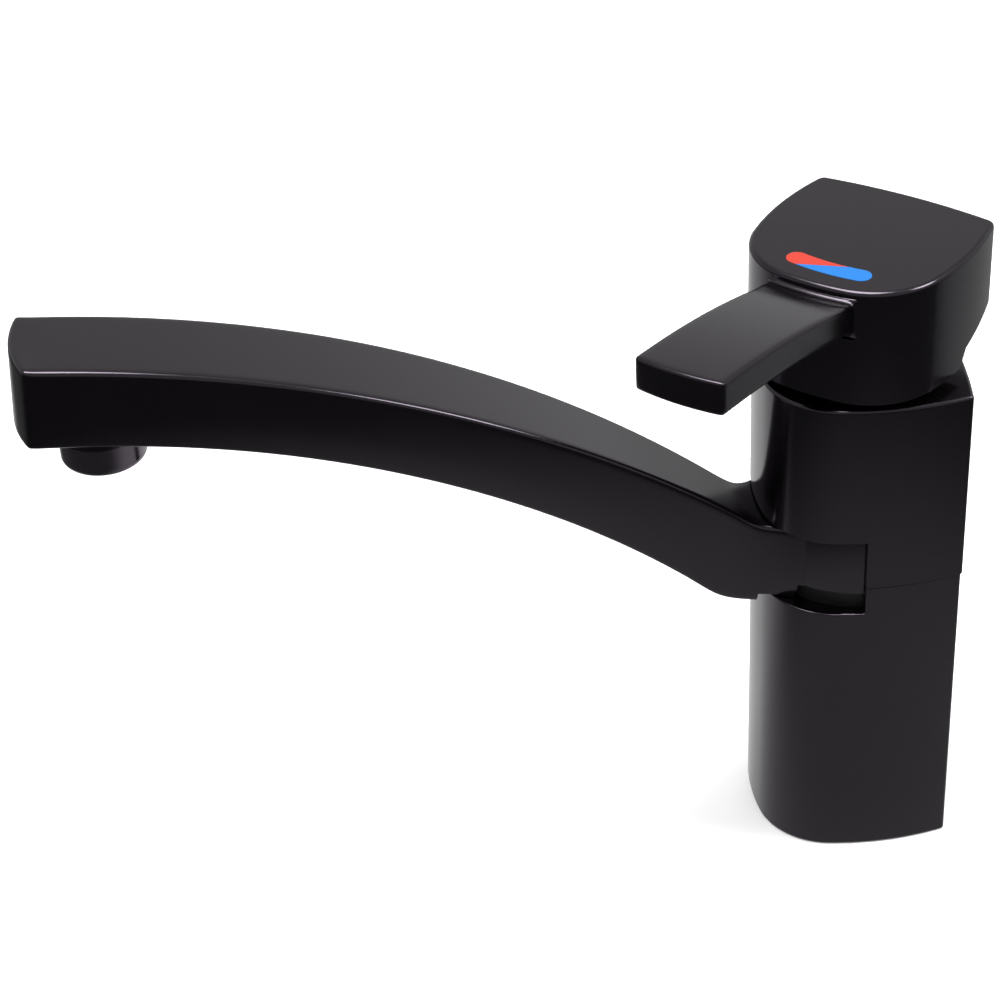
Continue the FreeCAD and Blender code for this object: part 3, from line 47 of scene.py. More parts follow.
def addCamera():
    data = bpy.data.cameras.new("photoCamera")
    data.lens = cameraView["lens"]
    data.sensor_width = cameraView["sensor"]
    data.clip_start = cameraView["nearest"]
    camera = bpy.data.objects.new("photoCamera", data)
    camera.location = cameraView["place"]
    camera.rotation_euler = [math.radians(angle) for angle in cameraView["turn"]]
    bpy.context.scene.collection.objects.link(camera)
    bpy.context.scene.camera = camera


addCamera()
print("camera set")


# shader maths: a Wire is a socket that can be added, taken away and multiplied
class Wire:
    def __init__(self, writer, socket):
        self.writer = writer
        self.socket = socket

    def math(self, operation, other):
        return self.writer.node("ShaderNodeMath", {"operation": operation}, {0: self, 1: other})

    def __add__(self, other):
        return self.math("ADD", other)

    def __sub__(self, other):
        return self.math("SUBTRACT", other)

    def __mul__(self, other):
        return self.math("MULTIPLY", other)


class NodeWriter:
    # adds nodes to the tree of a material or the world
    def __init__(self, tree):
        self.tree = tree

    def node(self, kind, settings=None, inputs=None, output=0):
        made = self.tree.nodes.new(kind)
        for name, value in (settings or {}).items():
            if name == "stops":
                elements = made.color_ramp.elements
                for index, (position, colour) in enumerate(value):
                    stop = elements[index] if index < 2 else elements.new(position)
                    stop.position = position
                    stop.color = colour
            else:
                setattr(made, name, value)
        for name, value in (inputs or {}).items():
            self.feed(made.inputs[name], value)
        return Wire(self, made.outputs[output])

    def feed(self, socket, value):
        if isinstance(value, Wire):
            self.tree.links.new(value.socket, socket)
        else:
            socket.default_value = value

    def between(self, factor, low, high, start=0.0, end=1.0):
        return self.node("ShaderNodeMapRange", inputs={
            "Value": factor, "From Min": start, "From Max": end, "To Min": low, "To Max": high})

    def soft(self, factor, low, high, start, end):
        # eased change from low at start to high at end
        return self.node("ShaderNodeMapRange", {"interpolation_type": "SMOOTHSTEP"}, {
            "Value": factor, "From Min": start, "From Max": end, "To Min": low, "To Max": high})

    def blend(self, factor, first, second):
        return self.node("ShaderNodeMix", {"data_type": "RGBA"}, {0: factor, 6: first, 7: second}, output=2)

    def parts(self, vector):
        split = self.node("ShaderNodeSeparateXYZ", inputs={0: vector}).socket.node
        return [Wire(self, socket) for socket in split.outputs]


class Finish(NodeWriter):
    # a material under construction
    def __init__(self, name, fixed):
        self.material = bpy.data.materials.new(name)
        self.material.use_nodes = True
        super().__init__(self.material.node_tree)
        self.shader = self.tree.nodes["Principled BSDF"]
        for socket, value in fixed.items():
            self.set(socket, value)
        self.place = self.node("ShaderNodeTexCoord", output="Object")

    def set(self, socket, value):
        self.feed(self.shader.inputs[socket], value)

    def noise(self, scale, detail, rough=0.5, place=None):
        inputs = {"Vector": place or self.place, "Scale": scale, "Detail": detail, "Roughness": rough}
        return self.node("ShaderNodeTexNoise", inputs=inputs, output="Fac")

    def stretched(self, scale):
        return self.node("ShaderNodeMapping", inputs={"Vector": self.place, "Scale": scale})

    def bump(self, height, strength, distance, under=None):
        # relief, on top of the relief under it
        inputs = {"Height": height, "Strength": strength, "Distance": distance}
        if under:
            inputs["Normal"] = under
        return self.node("ShaderNodeBump", inputs=inputs, output="Normal")


# a noise is (scale, detail, roughness), a relief is (strength, depth)
coatLook = {
    "colour": (0.0007, 0.0005, 0.0007, 1), "worn": (0.0012, 0.0009, 0.0012, 1),
    "gloss": (1.0, 0.88, 1.05, 1), "coatIor": 1.5, "chromeIor": 2.3,
    "cloud": (35, 4.0, 0.6), "cloudShare": 0.6, "cloudSpan": (0.3, 0.7), "rough": (0.14, 0.21),
    "peel": (900, 1.5), "peelRelief": (0.3, 0.00001),
    "wave": (60, 2.0), "waveRelief": (0.35, 0.00004),
}


def makeCoat(name, ior):
    # baked gloss black coating: faint orange peel, slow waves in the casting, uneven gloss
    look = coatLook
    coat = Finish(name, {"IOR": ior, "Specular Tint": look["gloss"]})
    peel = coat.noise(*look["peel"])
    cloud = coat.noise(*look["cloud"])
    coat.set("Base Color", coat.blend(cloud, look["colour"], look["worn"]))
    uneven = cloud * look["cloudShare"] + peel * (1 - look["cloudShare"])
    coat.set("Roughness", coat.between(uneven, *look["rough"], *look["cloudSpan"]))
    wave = coat.bump(coat.noise(*look["wave"]), *look["waveRelief"])
    coat.set("Normal", coat.bump(peel, *look["peelRelief"], wave))
    return coat.material


enamelBase = {
    "fixed": {"IOR": 1.48},
    "grain": (1400, 3.0, 0.6), "rough": (0.28, 0.42), "relief": (0.25, 0.00002),
}
plasticBase = {
    "fixed": {"IOR": 1.46, "Specular IOR Level": 0.25},
    "grain": (1500, 2.0, 0.6), "cloud": (120, 3.0), "relief": (0.4, 0.00005),
}
grainedLook = {
    "redEnamel": {**enamelBase, "colours": [(0.35, 0.022, 0.010, 1), (0.31, 0.018, 0.008, 1)]},
    "blueEnamel": {**enamelBase, "colours": [(0.001, 0.108, 0.36, 1), (0.001, 0.096, 0.32, 1)]},
    "drawnSteel": {    # fine lines along the upright
        "fixed": {"Metallic": 1.0}, "grain": (800, 3.0, 0.6), "stretch": (1, 1, 0.08),
        "rough": (0.22, 0.42), "relief": (0.3, 0.00003),
        "colours": [(0.42, 0.42, 0.43, 1), (0.62, 0.61, 0.6, 1)],
    },
    "turnedBrass": {    # turning marks, with clouds of tarnish
        "fixed": {"Metallic": 1.0}, "grain": (900, 2.0, 0.5), "stretch": (0.2, 0.2, 1),
        "cloud": (90, 4.0, 0.6), "cloudShare": 0.5, "rough": (0.24, 0.45), "relief": (0.25, 0.00004),
        "colours": [(0.66, 0.47, 0.2, 1), (0.42, 0.28, 0.12, 1)],
    },
    "darkPlastic": {
        **plasticBase, "rough": (0.34, 0.50),
        "colours": [(0.004, 0.004, 0.0045, 1), (0.007, 0.007, 0.0075, 1)],
    },
    "palePlastic": {
        **plasticBase, "rough": (0.30, 0.46),
        "colours": [(0.72, 0.72, 0.69, 1), (0.62, 0.62, 0.6, 1)],
    },
    "lappedCeramic": {
        "fixed": {"IOR": 1.7}, "grain": (2500, 2.0, 0.7), "rough": (0.08, 0.18),
        "colours": [(0.84, 0.81, 0.74, 1), (0.74, 0.71, 0.65, 1)],
    },
    "sealRubber": {
        "fixed": {"IOR": 1.5}, "grain": (220, 5.0, 0.65), "rough": (0.6, 0.85), "relief": (0.3, 0.00008),
        "colours": [(0.012, 0.012, 0.012, 1), (0.03, 0.03, 0.031, 1)],
    },
}


def makeGrained(name, look):
    # one grain for gloss and relief, with a slower cloud in the colour where the look has one
    finish = Finish(name, look["fixed"])
    place = finish.stretched(look["stretch"]) if "stretch" in look else finish.place
    grain = finish.noise(*look["grain"], place)
    cloud = finish.noise(*look["cloud"]) if "cloud" in look else grain
    finish.set("Base Color", finish.blend(cloud, *look["colours"]))
    uneven = grain
    if "cloudShare" in look:
        uneven = grain * (1 - look["cloudShare"]) + cloud * look["cloudShare"]
    finish.set("Roughness", finish.between(uneven, *look["rough"]))
    if "relief" in look:
        finish.set("Normal", finish.bump(grain, *look["relief"]))
    return finish.material


blackCoat = makeCoat("blackCoat", coatLook["coatIor"])
finishes = {"blackCoat": blackCoat, "blackChrome": makeCoat("blackChrome", coatLook["chromeIor"])}
for name, look in grainedLook.items():
    finishes[name] = makeGrained(name, look)

nodeFinish = {
    "blackCoat": ["upper_body", "lower_shell", "spout", "handle_cap", "handle_lever", "trim_ring"],
    "blackChrome": ["aerator_housing"],
    "redEnamel": ["indicator_red"],
    "blueEnamel": ["indicator_blue"],
    "drawnSteel": ["grub_screw", "lever_screw", "body_screw_left", "body_screw_right", "stem", "pivot_pin"],
    "turnedBrass": ["cartridge_nut"],
    "darkPlastic": ["cartridge_housing", "cartridge_base", "upper_slide_ring", "lower_slide_ring"],
    "palePlastic": ["stem_guide", "disc_carrier", "aerator_insert"],
    "lappedCeramic": ["fixed_disc", "moving_disc"],
    "sealRubber": ["upper_seal", "lower_seal", "base_gasket", "port_seal_hot", "port_seal_cold",
                   "port_seal_mixed", "aerator_washer"],
}
for name, coated in nodeFinish.items():
    for node in coated:
        slots = nodes[node].data.materials
        slots.clear()
        slots.append(finishes[name])
print("finishes made")


# modelling: pieces are drawn facing -Y in metres, then turned to their rest direction
closeBy = 0.00001    # points this near a level are on it, and points this near each other are one
weldGap = 0.00002    # joins the ends of arcs in an outline
seedSize = 0.001    # of the plane that an outline's first point is merged from
rimSegments = 4
smoothAngle = 32    # degrees


def clearSelection():
    if bpy.context.object and bpy.context.object.mode == "EDIT":
        bpy.ops.object.mode_set(mode="OBJECT")
    bpy.ops.object.select_all(action="DESELECT")


def pick(piece, kind, test):
    # selects the verts that pass the test, or the edges whose middle does
    bpy.ops.mesh.select_mode(type={"verts": "VERT", "edges": "EDGE"}[kind])
    bpy.ops.mesh.select_all(action="DESELECT")
    mesh = bmesh.from_edit_mesh(piece.data)
    for item in getattr(mesh, kind):
        place = item.co if kind == "verts" else (item.verts[0].co + item.verts[1].co) / 2
        item.select_set(bool(test(place)))
    bmesh.update_edit_mesh(piece.data)


def startOutline(name, start, level):
    # a single vertex to draw an outline from
    clearSelection()
    bpy.ops.mesh.primitive_plane_add(size=seedSize, location=(start[0], start[1], level))
    piece = bpy.context.object
    piece.name = name
    bpy.ops.object.transform_apply(location=True, rotation=False, scale=False)
    bpy.ops.object.mode_set(mode="EDIT")
    bpy.ops.mesh.select_mode(type="VERT")
    bpy.ops.mesh.select_all(action="SELECT")
    bpy.ops.mesh.merge(type="CENTER")
    return piece


def drawArc(centre, start, end, level, steps):
    # the short way round from start to end; spin turns clockwise when run without a window
    first = math.atan2(start[1] - centre[1], start[0] - centre[0])
    last = math.atan2(end[1] - centre[1], end[0] - centre[0])
    turn = (last - first + math.pi) % (2 * math.pi) - math.pi
    bpy.ops.mesh.spin(steps=steps, dupli=False, angle=-turn, center=(centre[0], centre[1], level),
                      axis=(0, 0, 1))


def riseOutline(height):
    # closes the outline, fills it and draws it up
    bpy.ops.mesh.select_all(action="SELECT")
    bpy.ops.mesh.remove_doubles(threshold=weldGap)
    bpy.ops.mesh.edge_face_add()
    bpy.ops.mesh.extrude_region_move(TRANSFORM_OT_translate={"value": (0, 0, height)})
    bpy.ops.mesh.select_all(action="SELECT")
    bpy.ops.mesh.normals_make_consistent(inside=False)


def useModifier(piece, name, kind, **settings):
    clearSelection()
    bpy.context.view_layer.objects.active = piece
    modifier = piece.modifiers.new(name, kind)
    for setting, value in settings.items():
        setattr(modifier, setting, value)
    bpy.ops.object.modifier_apply(modifier=name)


def combine(piece, operation, tool):
    # joins the tool to the piece or cuts it away
    useModifier(piece, "combine", "BOOLEAN", operation=operation, object=tool, solver="EXACT")
    bpy.data.objects.remove(tool)


def cut(piece, tool):
    combine(piece, "DIFFERENCE", tool)


def makeBar(radius, low, high, place=(0, 0), edge=0, vertices=128):
    # round bar, with its rims rounded where an edge is given
    clearSelection()
    bpy.ops.mesh.primitive_cylinder_add(vertices=vertices, radius=radius, depth=high - low,
                                        location=(place[0], place[1], (low + high) / 2))
    bar = bpy.context.object
    bpy.ops.object.transform_apply(location=True, rotation=False, scale=False)
    if edge:
        bpy.ops.object.mode_set(mode="EDIT")
        pick(bar, "edges", lambda place: min(abs(place.z - low), abs(place.z - high)) < closeBy)
        bpy.ops.mesh.bevel(offset=edge, segments=rimSegments, affect="EDGES")
        bpy.ops.object.mode_set(mode="OBJECT")
    return bar


def makeBlock(low, high):
    clearSelection()
    bpy.ops.mesh.primitive_cube_add(size=1, location=[(a + b) / 2 for a, b in zip(low, high)])
    block = bpy.context.object
    block.scale = [b - a for a, b in zip(low, high)]
    bpy.ops.object.transform_apply(location=True, rotation=False, scale=True)
    return block


def settle(piece, angle, finish, body, slot, *replaced, flatFaces=False):
    # turns the piece about the swivel axis, shades it and hands it to the frame
    clearSelection()
    piece.select_set(True)
    bpy.context.view_layer.objects.active = piece
    piece.rotation_euler = (0, 0, math.radians(angle))
    bpy.ops.object.transform_apply(location=True, rotation=True, scale=True)
    bpy.ops.object.shade_smooth_by_angle(angle=math.radians(smoothAngle))
    if flatFaces:    # large faces keep their own normals beside the small rounds
        useModifier(piece, "normals", "WEIGHTED_NORMAL", mode="FACE_AREA", keep_sharp=True)
    piece.data.materials.clear()
    piece.data.materials.append(finish)
    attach(piece, body)
    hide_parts(*replaced)
    clearSelection()


planShape = {    # plan of the column and the cap: bowed front, round corners, bowed sides and back
    "halfWidth": 0.025, "front": 0.0245, "back": 0.0239, "widestBack": 0.0044,
    "frontR": 0.0574, "cornerR": 0.0190, "sideR": 0.0726, "smallR": 0.0012, "backR": 0.1500,
    "steps": {"front": 16, "corner": 18, "side": 16, "small": 5, "back": 12},
}


def crossing(centreA, radiusA, centreB, radiusB, side):
    # where two circles cross, left or right of the line between their centres
    gap = centreB - centreA
    along = (gap.length_squared + radiusA ** 2 - radiusB ** 2) / (2 * gap.length)
    across = math.sqrt(radiusA ** 2 - along ** 2) * side
    gap.normalize()
    return centreA + gap * along + Vector((-gap.y, gap.x)) * across


def toward(centre, radius, target):
    return centre + (target - centre).normalized() * radius


def planArcs(inset, smallR):
    # the plan as arcs of (centre, end, steps), with the point that they start from
    shape = planShape
    frontR, cornerR, sideR, backR = (shape[name] - inset for name in ("frontR", "cornerR", "sideR", "backR"))
    front = Vector((0, frontR - shape["front"] + inset))
    side = Vector((shape["halfWidth"] - inset - sideR, shape["widestBack"]))
    back = Vector((0, shape["back"] - inset - backR))
    corner = max((crossing(front, frontR - cornerR, side, sideR - cornerR, hand) for hand in (-1, 1)),
                 key=lambda place: place.x)
    small = crossing(side, sideR - smallR, back, backR - smallR, 1)
    steps = shape["steps"]
    right = [
        (corner, toward(side, sideR, corner), steps["corner"]),
        (side, toward(side, sideR, small), steps["side"]),
        (small, toward(back, backR, small), steps["small"]),
    ]
    frontEnd = toward(front, frontR, corner)

    def mirrored(point):
        return Vector((-point.x, point.y))

    left = [
        (mirrored(small), mirrored(right[1][1]), steps["small"]),
        (mirrored(side), mirrored(right[0][1]), steps["side"]),
        (mirrored(corner), mirrored(frontEnd), steps["corner"]),
    ]
    back = (back, mirrored(right[2][1]), steps["back"])
    arcs = [(front, frontEnd, steps["front"])] + right + [back] + left
    return mirrored(frontEnd), arcs


def makePlanBlock(name, inset, low, high, topEdge=0, smallR=planShape["smallR"]):
    # block with the column's plan, its top rim rounded
    here, arcs = planArcs(inset, smallR)
    piece = startOutline(name, here, low)
    for centre, end, steps in arcs:
        drawArc(centre, here, end, low, steps)
        here = end
    riseOutline(high - low)
    if topEdge:
        pick(piece, "edges", lambda place: abs(place.z - high) < closeBy)
        bpy.ops.mesh.bevel(offset=topEdge, segments=rimSegments, affect="EDGES")
    bpy.ops.object.mode_set(mode="OBJECT")
    return piece


columnShape = {
    "lowerInset": 0.00035, "wall": 0.0026, "seam": 0.0816, "seamGap": 0.0003, "top": 0.1326, "rim": 0.0009,
    "windowLow": 0.0740, "windowHigh": 0.0952, "windowBack": -0.0019, "collarRoom": 0.0231,
    "journal": 0.0155, "journalFoot": 0.0560, "journalRoot": 0.0005,
    "well": 0.01555, "stage": (0.0500, 0.0560), "chamber": 0.0177, "chamberFloor": 0.0970,
    "hoseSlot": (0.0124, -0.0092, 0.0012),    # half width, front, back
    "studSlot": (0.0041, 0.0083), "slotLap": 0.001,    # half width, back
    "sockets": [((-0.0072, -0.0040), 0.0045, 48), ((0.0072, -0.0040), 0.0045, 48), ((0, 0.0042), 0.0034, 40)],
    "socketDepth": 0.010,
    "screws": [((-0.0095, 0.0055), 0.0020, 32), ((0.0095, 0.0055), 0.0020, 32)],    # place, radius, vertices
    "cutRim": 0.0004,
    "reach": {    # where the cutters end, and how far they pass the stage and the journal's foot
        "side": 0.04, "front": -0.06, "hollow": -0.01, "lowerTop": 0.1, "upperFoot": 0.07, "chamber": 0.2,
        "stage": 0.002, "socket": 0.01,
    },
}
cutRounds = {"flat": 0.05, "sharp": 48, "segments": 2}    # angles in degrees


def roundCuts(piece, width):
    # small even rounds along every sharp edge that the cuts left
    clearSelection()
    bpy.context.view_layer.objects.active = piece
    bpy.ops.object.mode_set(mode="EDIT")
    bpy.ops.mesh.select_all(action="SELECT")
    bpy.ops.mesh.remove_doubles(threshold=closeBy)
    bpy.ops.mesh.dissolve_limited(angle_limit=math.radians(cutRounds["flat"]))
    bpy.ops.object.mode_set(mode="OBJECT")
    useModifier(piece, "rounds", "BEVEL", width=width, segments=cutRounds["segments"], limit_method="ANGLE",
                angle_limit=math.radians(cutRounds["sharp"]), harden_normals=True)


def makeLowerColumn():
    shape, reach = columnShape, columnShape["reach"]
    piece = makePlanBlock("lowerColumn", shape["lowerInset"], 0, shape["seam"])
    stageLow, stageHigh = shape["stage"]
    cut(piece, makePlanBlock("hollow", shape["lowerInset"] + shape["wall"], reach["hollow"], stageLow))
    cut(piece, makeBar(shape["well"], stageHigh, reach["lowerTop"]))
    cut(piece, makeBar(shape["collarRoom"], shape["windowLow"], reach["lowerTop"]))
    cut(piece, makeBlock((-reach["side"], reach["front"], shape["windowLow"]),
                         (reach["side"], shape["windowBack"], reach["lowerTop"])))
    low, high = stageLow - reach["stage"], stageHigh + reach["stage"]
    side, front, middle = shape["hoseSlot"]
    cut(piece, makeBlock((-side, front, low), (side, middle, high)))
    side, back = shape["studSlot"]
    cut(piece, makeBlock((-side, middle - shape["slotLap"], low), (side, back, high)))
    for place, radius, vertices in shape["screws"]:
        cut(piece, makeBar(radius, low, high, place, vertices=vertices))
    roundCuts(piece, shape["cutRim"])
    settle(piece, 0, blackCoat, "column", "black_coating", "lower_shell", flatFaces=True)


def makeUpperColumn():
    shape, reach = columnShape, columnShape["reach"]
    piece = makePlanBlock("upperColumn", 0, shape["seam"] + shape["seamGap"], shape["top"], shape["rim"])
    cut(piece, makeBar(shape["collarRoom"], reach["upperFoot"], shape["windowHigh"]))
    cut(piece, makeBlock((-reach["side"], reach["front"], reach["upperFoot"]),
                         (reach["side"], shape["windowBack"], shape["windowHigh"])))
    cut(piece, makeBar(shape["chamber"], shape["chamberFloor"], reach["chamber"]))
    foot = shape["journalFoot"]
    journal = makeBar(shape["journal"], foot, shape["windowHigh"] + shape["journalRoot"])
    combine(piece, "UNION", journal)
    low, high = foot - reach["socket"], foot + shape["socketDepth"]
    for place, radius, vertices in shape["sockets"] + shape["screws"]:
        cut(piece, makeBar(radius, low, high, place, vertices=vertices))
    roundCuts(piece, shape["cutRim"])
    settle(piece, 0, blackCoat, "column", "black_coating", "upper_body", flatFaces=True)


makeLowerColumn()
makeUpperColumn()
print("column made")


capShape = {
    "yaw": 48.8, "low": 0.1350, "high": 0.1644, "rim": 0.0012, "smallR": 0.0022,
    "notch": [(0.0032, 0.1350), (0.0058, 0.1392), (0.0260, 0.1450)],    # back, height
    "notchLift": 0.0001,
    "hollow": 0.0204, "roof": 0.1604, "hub": 0.0076, "hubLow": 0.1480, "hubRoot": 0.001, "hubVertices": 64,
    "stem": (0.0071, 0.0065), "stemTop": 0.1561,
    "grub": 0.00255, "grubHeight": 0.1520, "grubVertices": 40, "cutRim": 0.0004,
    "lever": (0.0109, 0.1520, 0.1622, -0.0221),    # half width, low, high, depth of the pocket
    "reach": {    # where the cutters end
        "side": 0.04, "front": -0.04, "back": 0.05, "notch": 0.10, "hollow": 0.12, "stem": 0.14,
    },
}
markShape = {
    "middle": 0.0495, "half": 0.0026, "reach": 0.0081, "depth": 0.0006, "rise": 0.004,
    "sideSteps": 20, "endParts": 4, "endSteps": 4,
}


def makeNotchCutter():
    # its top rises in two slopes towards the cap's back
    shape, reach = capShape, capShape["reach"]
    start, knee, last = shape["notch"]
    flat = start[1] + shape["notchLift"]
    cutter = makeBlock((-reach["side"], start[0], reach["notch"]), (reach["side"], reach["back"], flat))
    bpy.ops.object.mode_set(mode="EDIT")
    for back in (knee[0], last[0]):
        bpy.ops.mesh.select_all(action="SELECT")
        bpy.ops.mesh.bisect(plane_co=(0, back, 0), plane_no=(0, 1, 0))
    slope = (last[1] - knee[1]) / (last[0] - knee[0])
    end = (reach["back"], last[1] + slope * (reach["back"] - last[0]))
    for back, height in (knee, last, end):
        pick(cutter, "verts", lambda place: place.z > flat - closeBy and abs(place.y - back) < closeBy)
        bpy.ops.transform.translate(value=(0, 0, height - flat))
    bpy.ops.object.mode_set(mode="OBJECT")
    return cutter


def makeGrubCutter():
    # lies along the cap's middle, out through its back
    bore = makeBar(capShape["grub"], 0, capShape["reach"]["back"], vertices=capShape["grubVertices"])
    bore.rotation_euler = (-math.pi / 2, 0, 0)
    bore.location = (0, 0, capShape["grubHeight"])
    bpy.ops.object.transform_apply(location=True, rotation=True, scale=False)
    return bore


def makeMarkCutter():
    # curved oblong with round ends, along the cap's front
    mark = markShape
    centre = Vector((0, planShape["frontR"] - planShape["front"]))
    lean = math.asin(mark["reach"] / mark["middle"])
    outer, inner = mark["middle"] + mark["half"], mark["middle"] - mark["half"]
    level = capShape["high"] - mark["depth"]

    def spot(radius, angle):
        return centre + Vector((math.sin(angle), -math.cos(angle))) * radius

    def drawRoundEnd(middle, start):
        turns = [start + math.pi * part / mark["endParts"] for part in range(mark["endParts"] + 1)]
        rim = [middle + Vector((-math.sin(turn), math.cos(turn))) * mark["half"] for turn in turns]
        for here, there in zip(rim, rim[1:]):
            drawArc(middle, here, there, level, mark["endSteps"])

    tool = startOutline("markCutter", spot(outer, -lean), level)
    drawArc(centre, spot(outer, -lean), spot(outer, lean), level, mark["sideSteps"])
    drawRoundEnd(spot(mark["middle"], lean), lean + math.pi)
    drawArc(centre, spot(inner, lean), spot(inner, -lean), level, mark["sideSteps"])
    drawRoundEnd(spot(mark["middle"], -lean), -lean)
    riseOutline(mark["rise"])
    bpy.ops.object.mode_set(mode="OBJECT")
    return tool


def makeHandleCap():
    shape, reach = capShape, capShape["reach"]
    piece = makePlanBlock("handleCap", 0, shape["low"], shape["high"], shape["rim"], shape["smallR"])
    cut(piece, makeNotchCutter())
    cut(piece, makeBar(shape["hollow"], reach["hollow"], shape["roof"]))
    hubTop = shape["roof"] + shape["hubRoot"]
    combine(piece, "UNION", makeBar(shape["hub"], shape["hubLow"], hubTop, vertices=shape["hubVertices"]))
    width, depth = shape["stem"]
    cut(piece, makeBlock((-width / 2, -depth / 2, reach["stem"]), (width / 2, depth / 2, shape["stemTop"])))
    cut(piece, makeGrubCutter())
    half, low, high, face = shape["lever"]
    cut(piece, makeBlock((-half, reach["front"], low), (half, face, high)))
    cut(piece, makeMarkCutter())
    roundCuts(piece, shape["cutRim"])
    settle(piece, shape["yaw"], blackCoat, "handle", "black_coating", "handle_cap", flatFaces=True)


makeHandleCap()
print("cap made")


def startSection(name, columns, rows, station):
    # an upright grid at the first station; a station is (along, half width, under, top)
    clearSelection()
    along, half, under, top = station
    bpy.ops.mesh.primitive_grid_add(x_subdivisions=columns, y_subdivisions=rows, size=1,
                                    location=(0, -along, (under + top) / 2), rotation=(math.pi / 2, 0, 0))
    piece = bpy.context.object
    piece.name = name
    piece.scale = (half * 2, top - under, 1)
    bpy.ops.object.transform_apply(location=True, rotation=True, scale=True)
    bpy.ops.object.mode_set(mode="EDIT")
    bpy.ops.mesh.select_all(action="SELECT")
    return piece


def pullAlong(stations):
    # draws the selected end face from station to station
    for before, after in zip(stations, stations[1:]):
        middleBefore, middleAfter = (before[2] + before[3]) / 2, (after[2] + after[3]) / 2
        bpy.ops.mesh.extrude_region_move(TRANSFORM_OT_translate={
            "value": (0, before[0] - after[0], middleAfter - middleBefore)})
        wider, taller = after[1] / before[1], (after[3] - after[2]) / (before[3] - before[2])
        bpy.ops.transform.resize(value=(wider, 1, taller), center_override=(0, -after[0], middleAfter))


def bowEnd(piece, station, columns, radius, chosen):
    # bows the columns of an end face back by their distance from the middle
    half = station[1]
    near = half * 0.09    # the tucked-in rows stray this far from their column at most
    for column in range(columns + 1):
        across = half * (2 * column / columns - 1)
        pick(piece, "verts", lambda place: chosen(place) and abs(place.x - across) < near)
        bpy.ops.transform.translate(value=(0, radius - math.sqrt(radius ** 2 - across ** 2), 0))


longRounds = {"sharp": 50, "segments": 2, "levels": 2}


def roundLong(piece, width):
    # rounds the sharp edges of a drawn bar and closes it up smoothly
    bpy.ops.mesh.select_mode(type="EDGE")
    bpy.ops.mesh.select_all(action="DESELECT")
    bpy.ops.mesh.edges_select_sharp(sharpness=math.radians(longRounds["sharp"]))
    bpy.ops.mesh.bevel(offset=width, segments=longRounds["segments"], affect="EDGES")
    bpy.ops.mesh.select_all(action="SELECT")
    bpy.ops.mesh.normals_make_consistent(inside=False)
    bpy.ops.object.mode_set(mode="OBJECT")
    levels = longRounds["levels"]
    useModifier(piece, "smooth", "SUBSURF", levels=levels, render_levels=levels)


def arcHeight(arc, along, side=1):
    # height of an arc's upper side, or of its lower side with -1; an arc is (along, height, radius)
    centre, height, radius = arc
    return height + side * math.sqrt(radius ** 2 - (centre - along) ** 2)


spoutShape = {
    "yaw": 6.0, "tipBow": 0.0337, "tipLean": 4.5,
    "topArch": (0.23288, -0.1400, 0.3120),
    "underArch": (0.21730, -0.1042, 0.2543),
    "elbow": (0.0236, 0.1034, 0.0090), "elbowEnd": 0.02947,
    "heel": (0.0251, 0.0937, 0.0220), "heelEnd": 0.0404,
    "halfWidest": 0.0133, "widestAt": 0.125, "rootSide": 1.090, "tipSide": 3.300,
    "flare": (0.03138, 0.03169, 0.0220), "flareEnd": 0.0335, "flareDeep": 0.0152,    # across, along, radius
    "columns": 10,
    "sideRows": [1.0, 1.010, 1.018, 1.022, 1.023, 1.019, 1.005, 0.975, 0.935],    # widths, top to bottom
    "rowNear": 0.0005, "tipNear": 0.001, "bowNear": 0.003,    # how near counts as a row or as the tip
    "edge": 0.0010,
    "stations": [0.1957, 0.1900, 0.1820, 0.1720, 0.1600, 0.1480, 0.1360, 0.1240, 0.1120, 0.1000, 0.0880,
                 0.0770, 0.0670, 0.0580, 0.0500, 0.0430, 0.0380, 0.0340, 0.0310, 0.0283, 0.0258, 0.0235,
                 0.0212, 0.0190, 0.0165, 0.0080],
    "collar": (0.0226, 0.0786, 0.09443), "collarRim": 0.0004, "collarVertices": 160,    # radius, low, high
    "reliefs": [(0.0286, 0.0744), (0.0231, 0.07863)], "reliefDepth": 0.03,    # radius, high
    "bore": (0.01555, 0.05, 0.12),    # radius, low, high
    "outlet": (0.1778, 0.1449, 0.0098, 0.00925, 0.0090),    # along, face, radius, bore, depth
    "outletRoot": 0.008, "outletLead": 0.002, "outletVertices": 96,
}


def spoutStation(along):
    shape = spoutShape
    top, under = arcHeight(shape["topArch"], along), arcHeight(shape["underArch"], along)
    if along < shape["elbowEnd"]:
        top = arcHeight(shape["elbow"], max(along, shape["elbow"][0]), -1)
    if along < shape["heelEnd"]:
        under = arcHeight(shape["heel"], max(along, shape["heel"][0]), -1)
    side = shape["tipSide"] if along > shape["widestAt"] else shape["rootSide"]
    half = shape["halfWidest"] - side + math.sqrt(side ** 2 - (along - shape["widestAt"]) ** 2)
    if along < shape["flareEnd"]:
        across, centre, radius = shape["flare"]
        half = across - math.sqrt(radius ** 2 - min(centre - along, shape["flareDeep"]) ** 2)
    return along, half, under, top


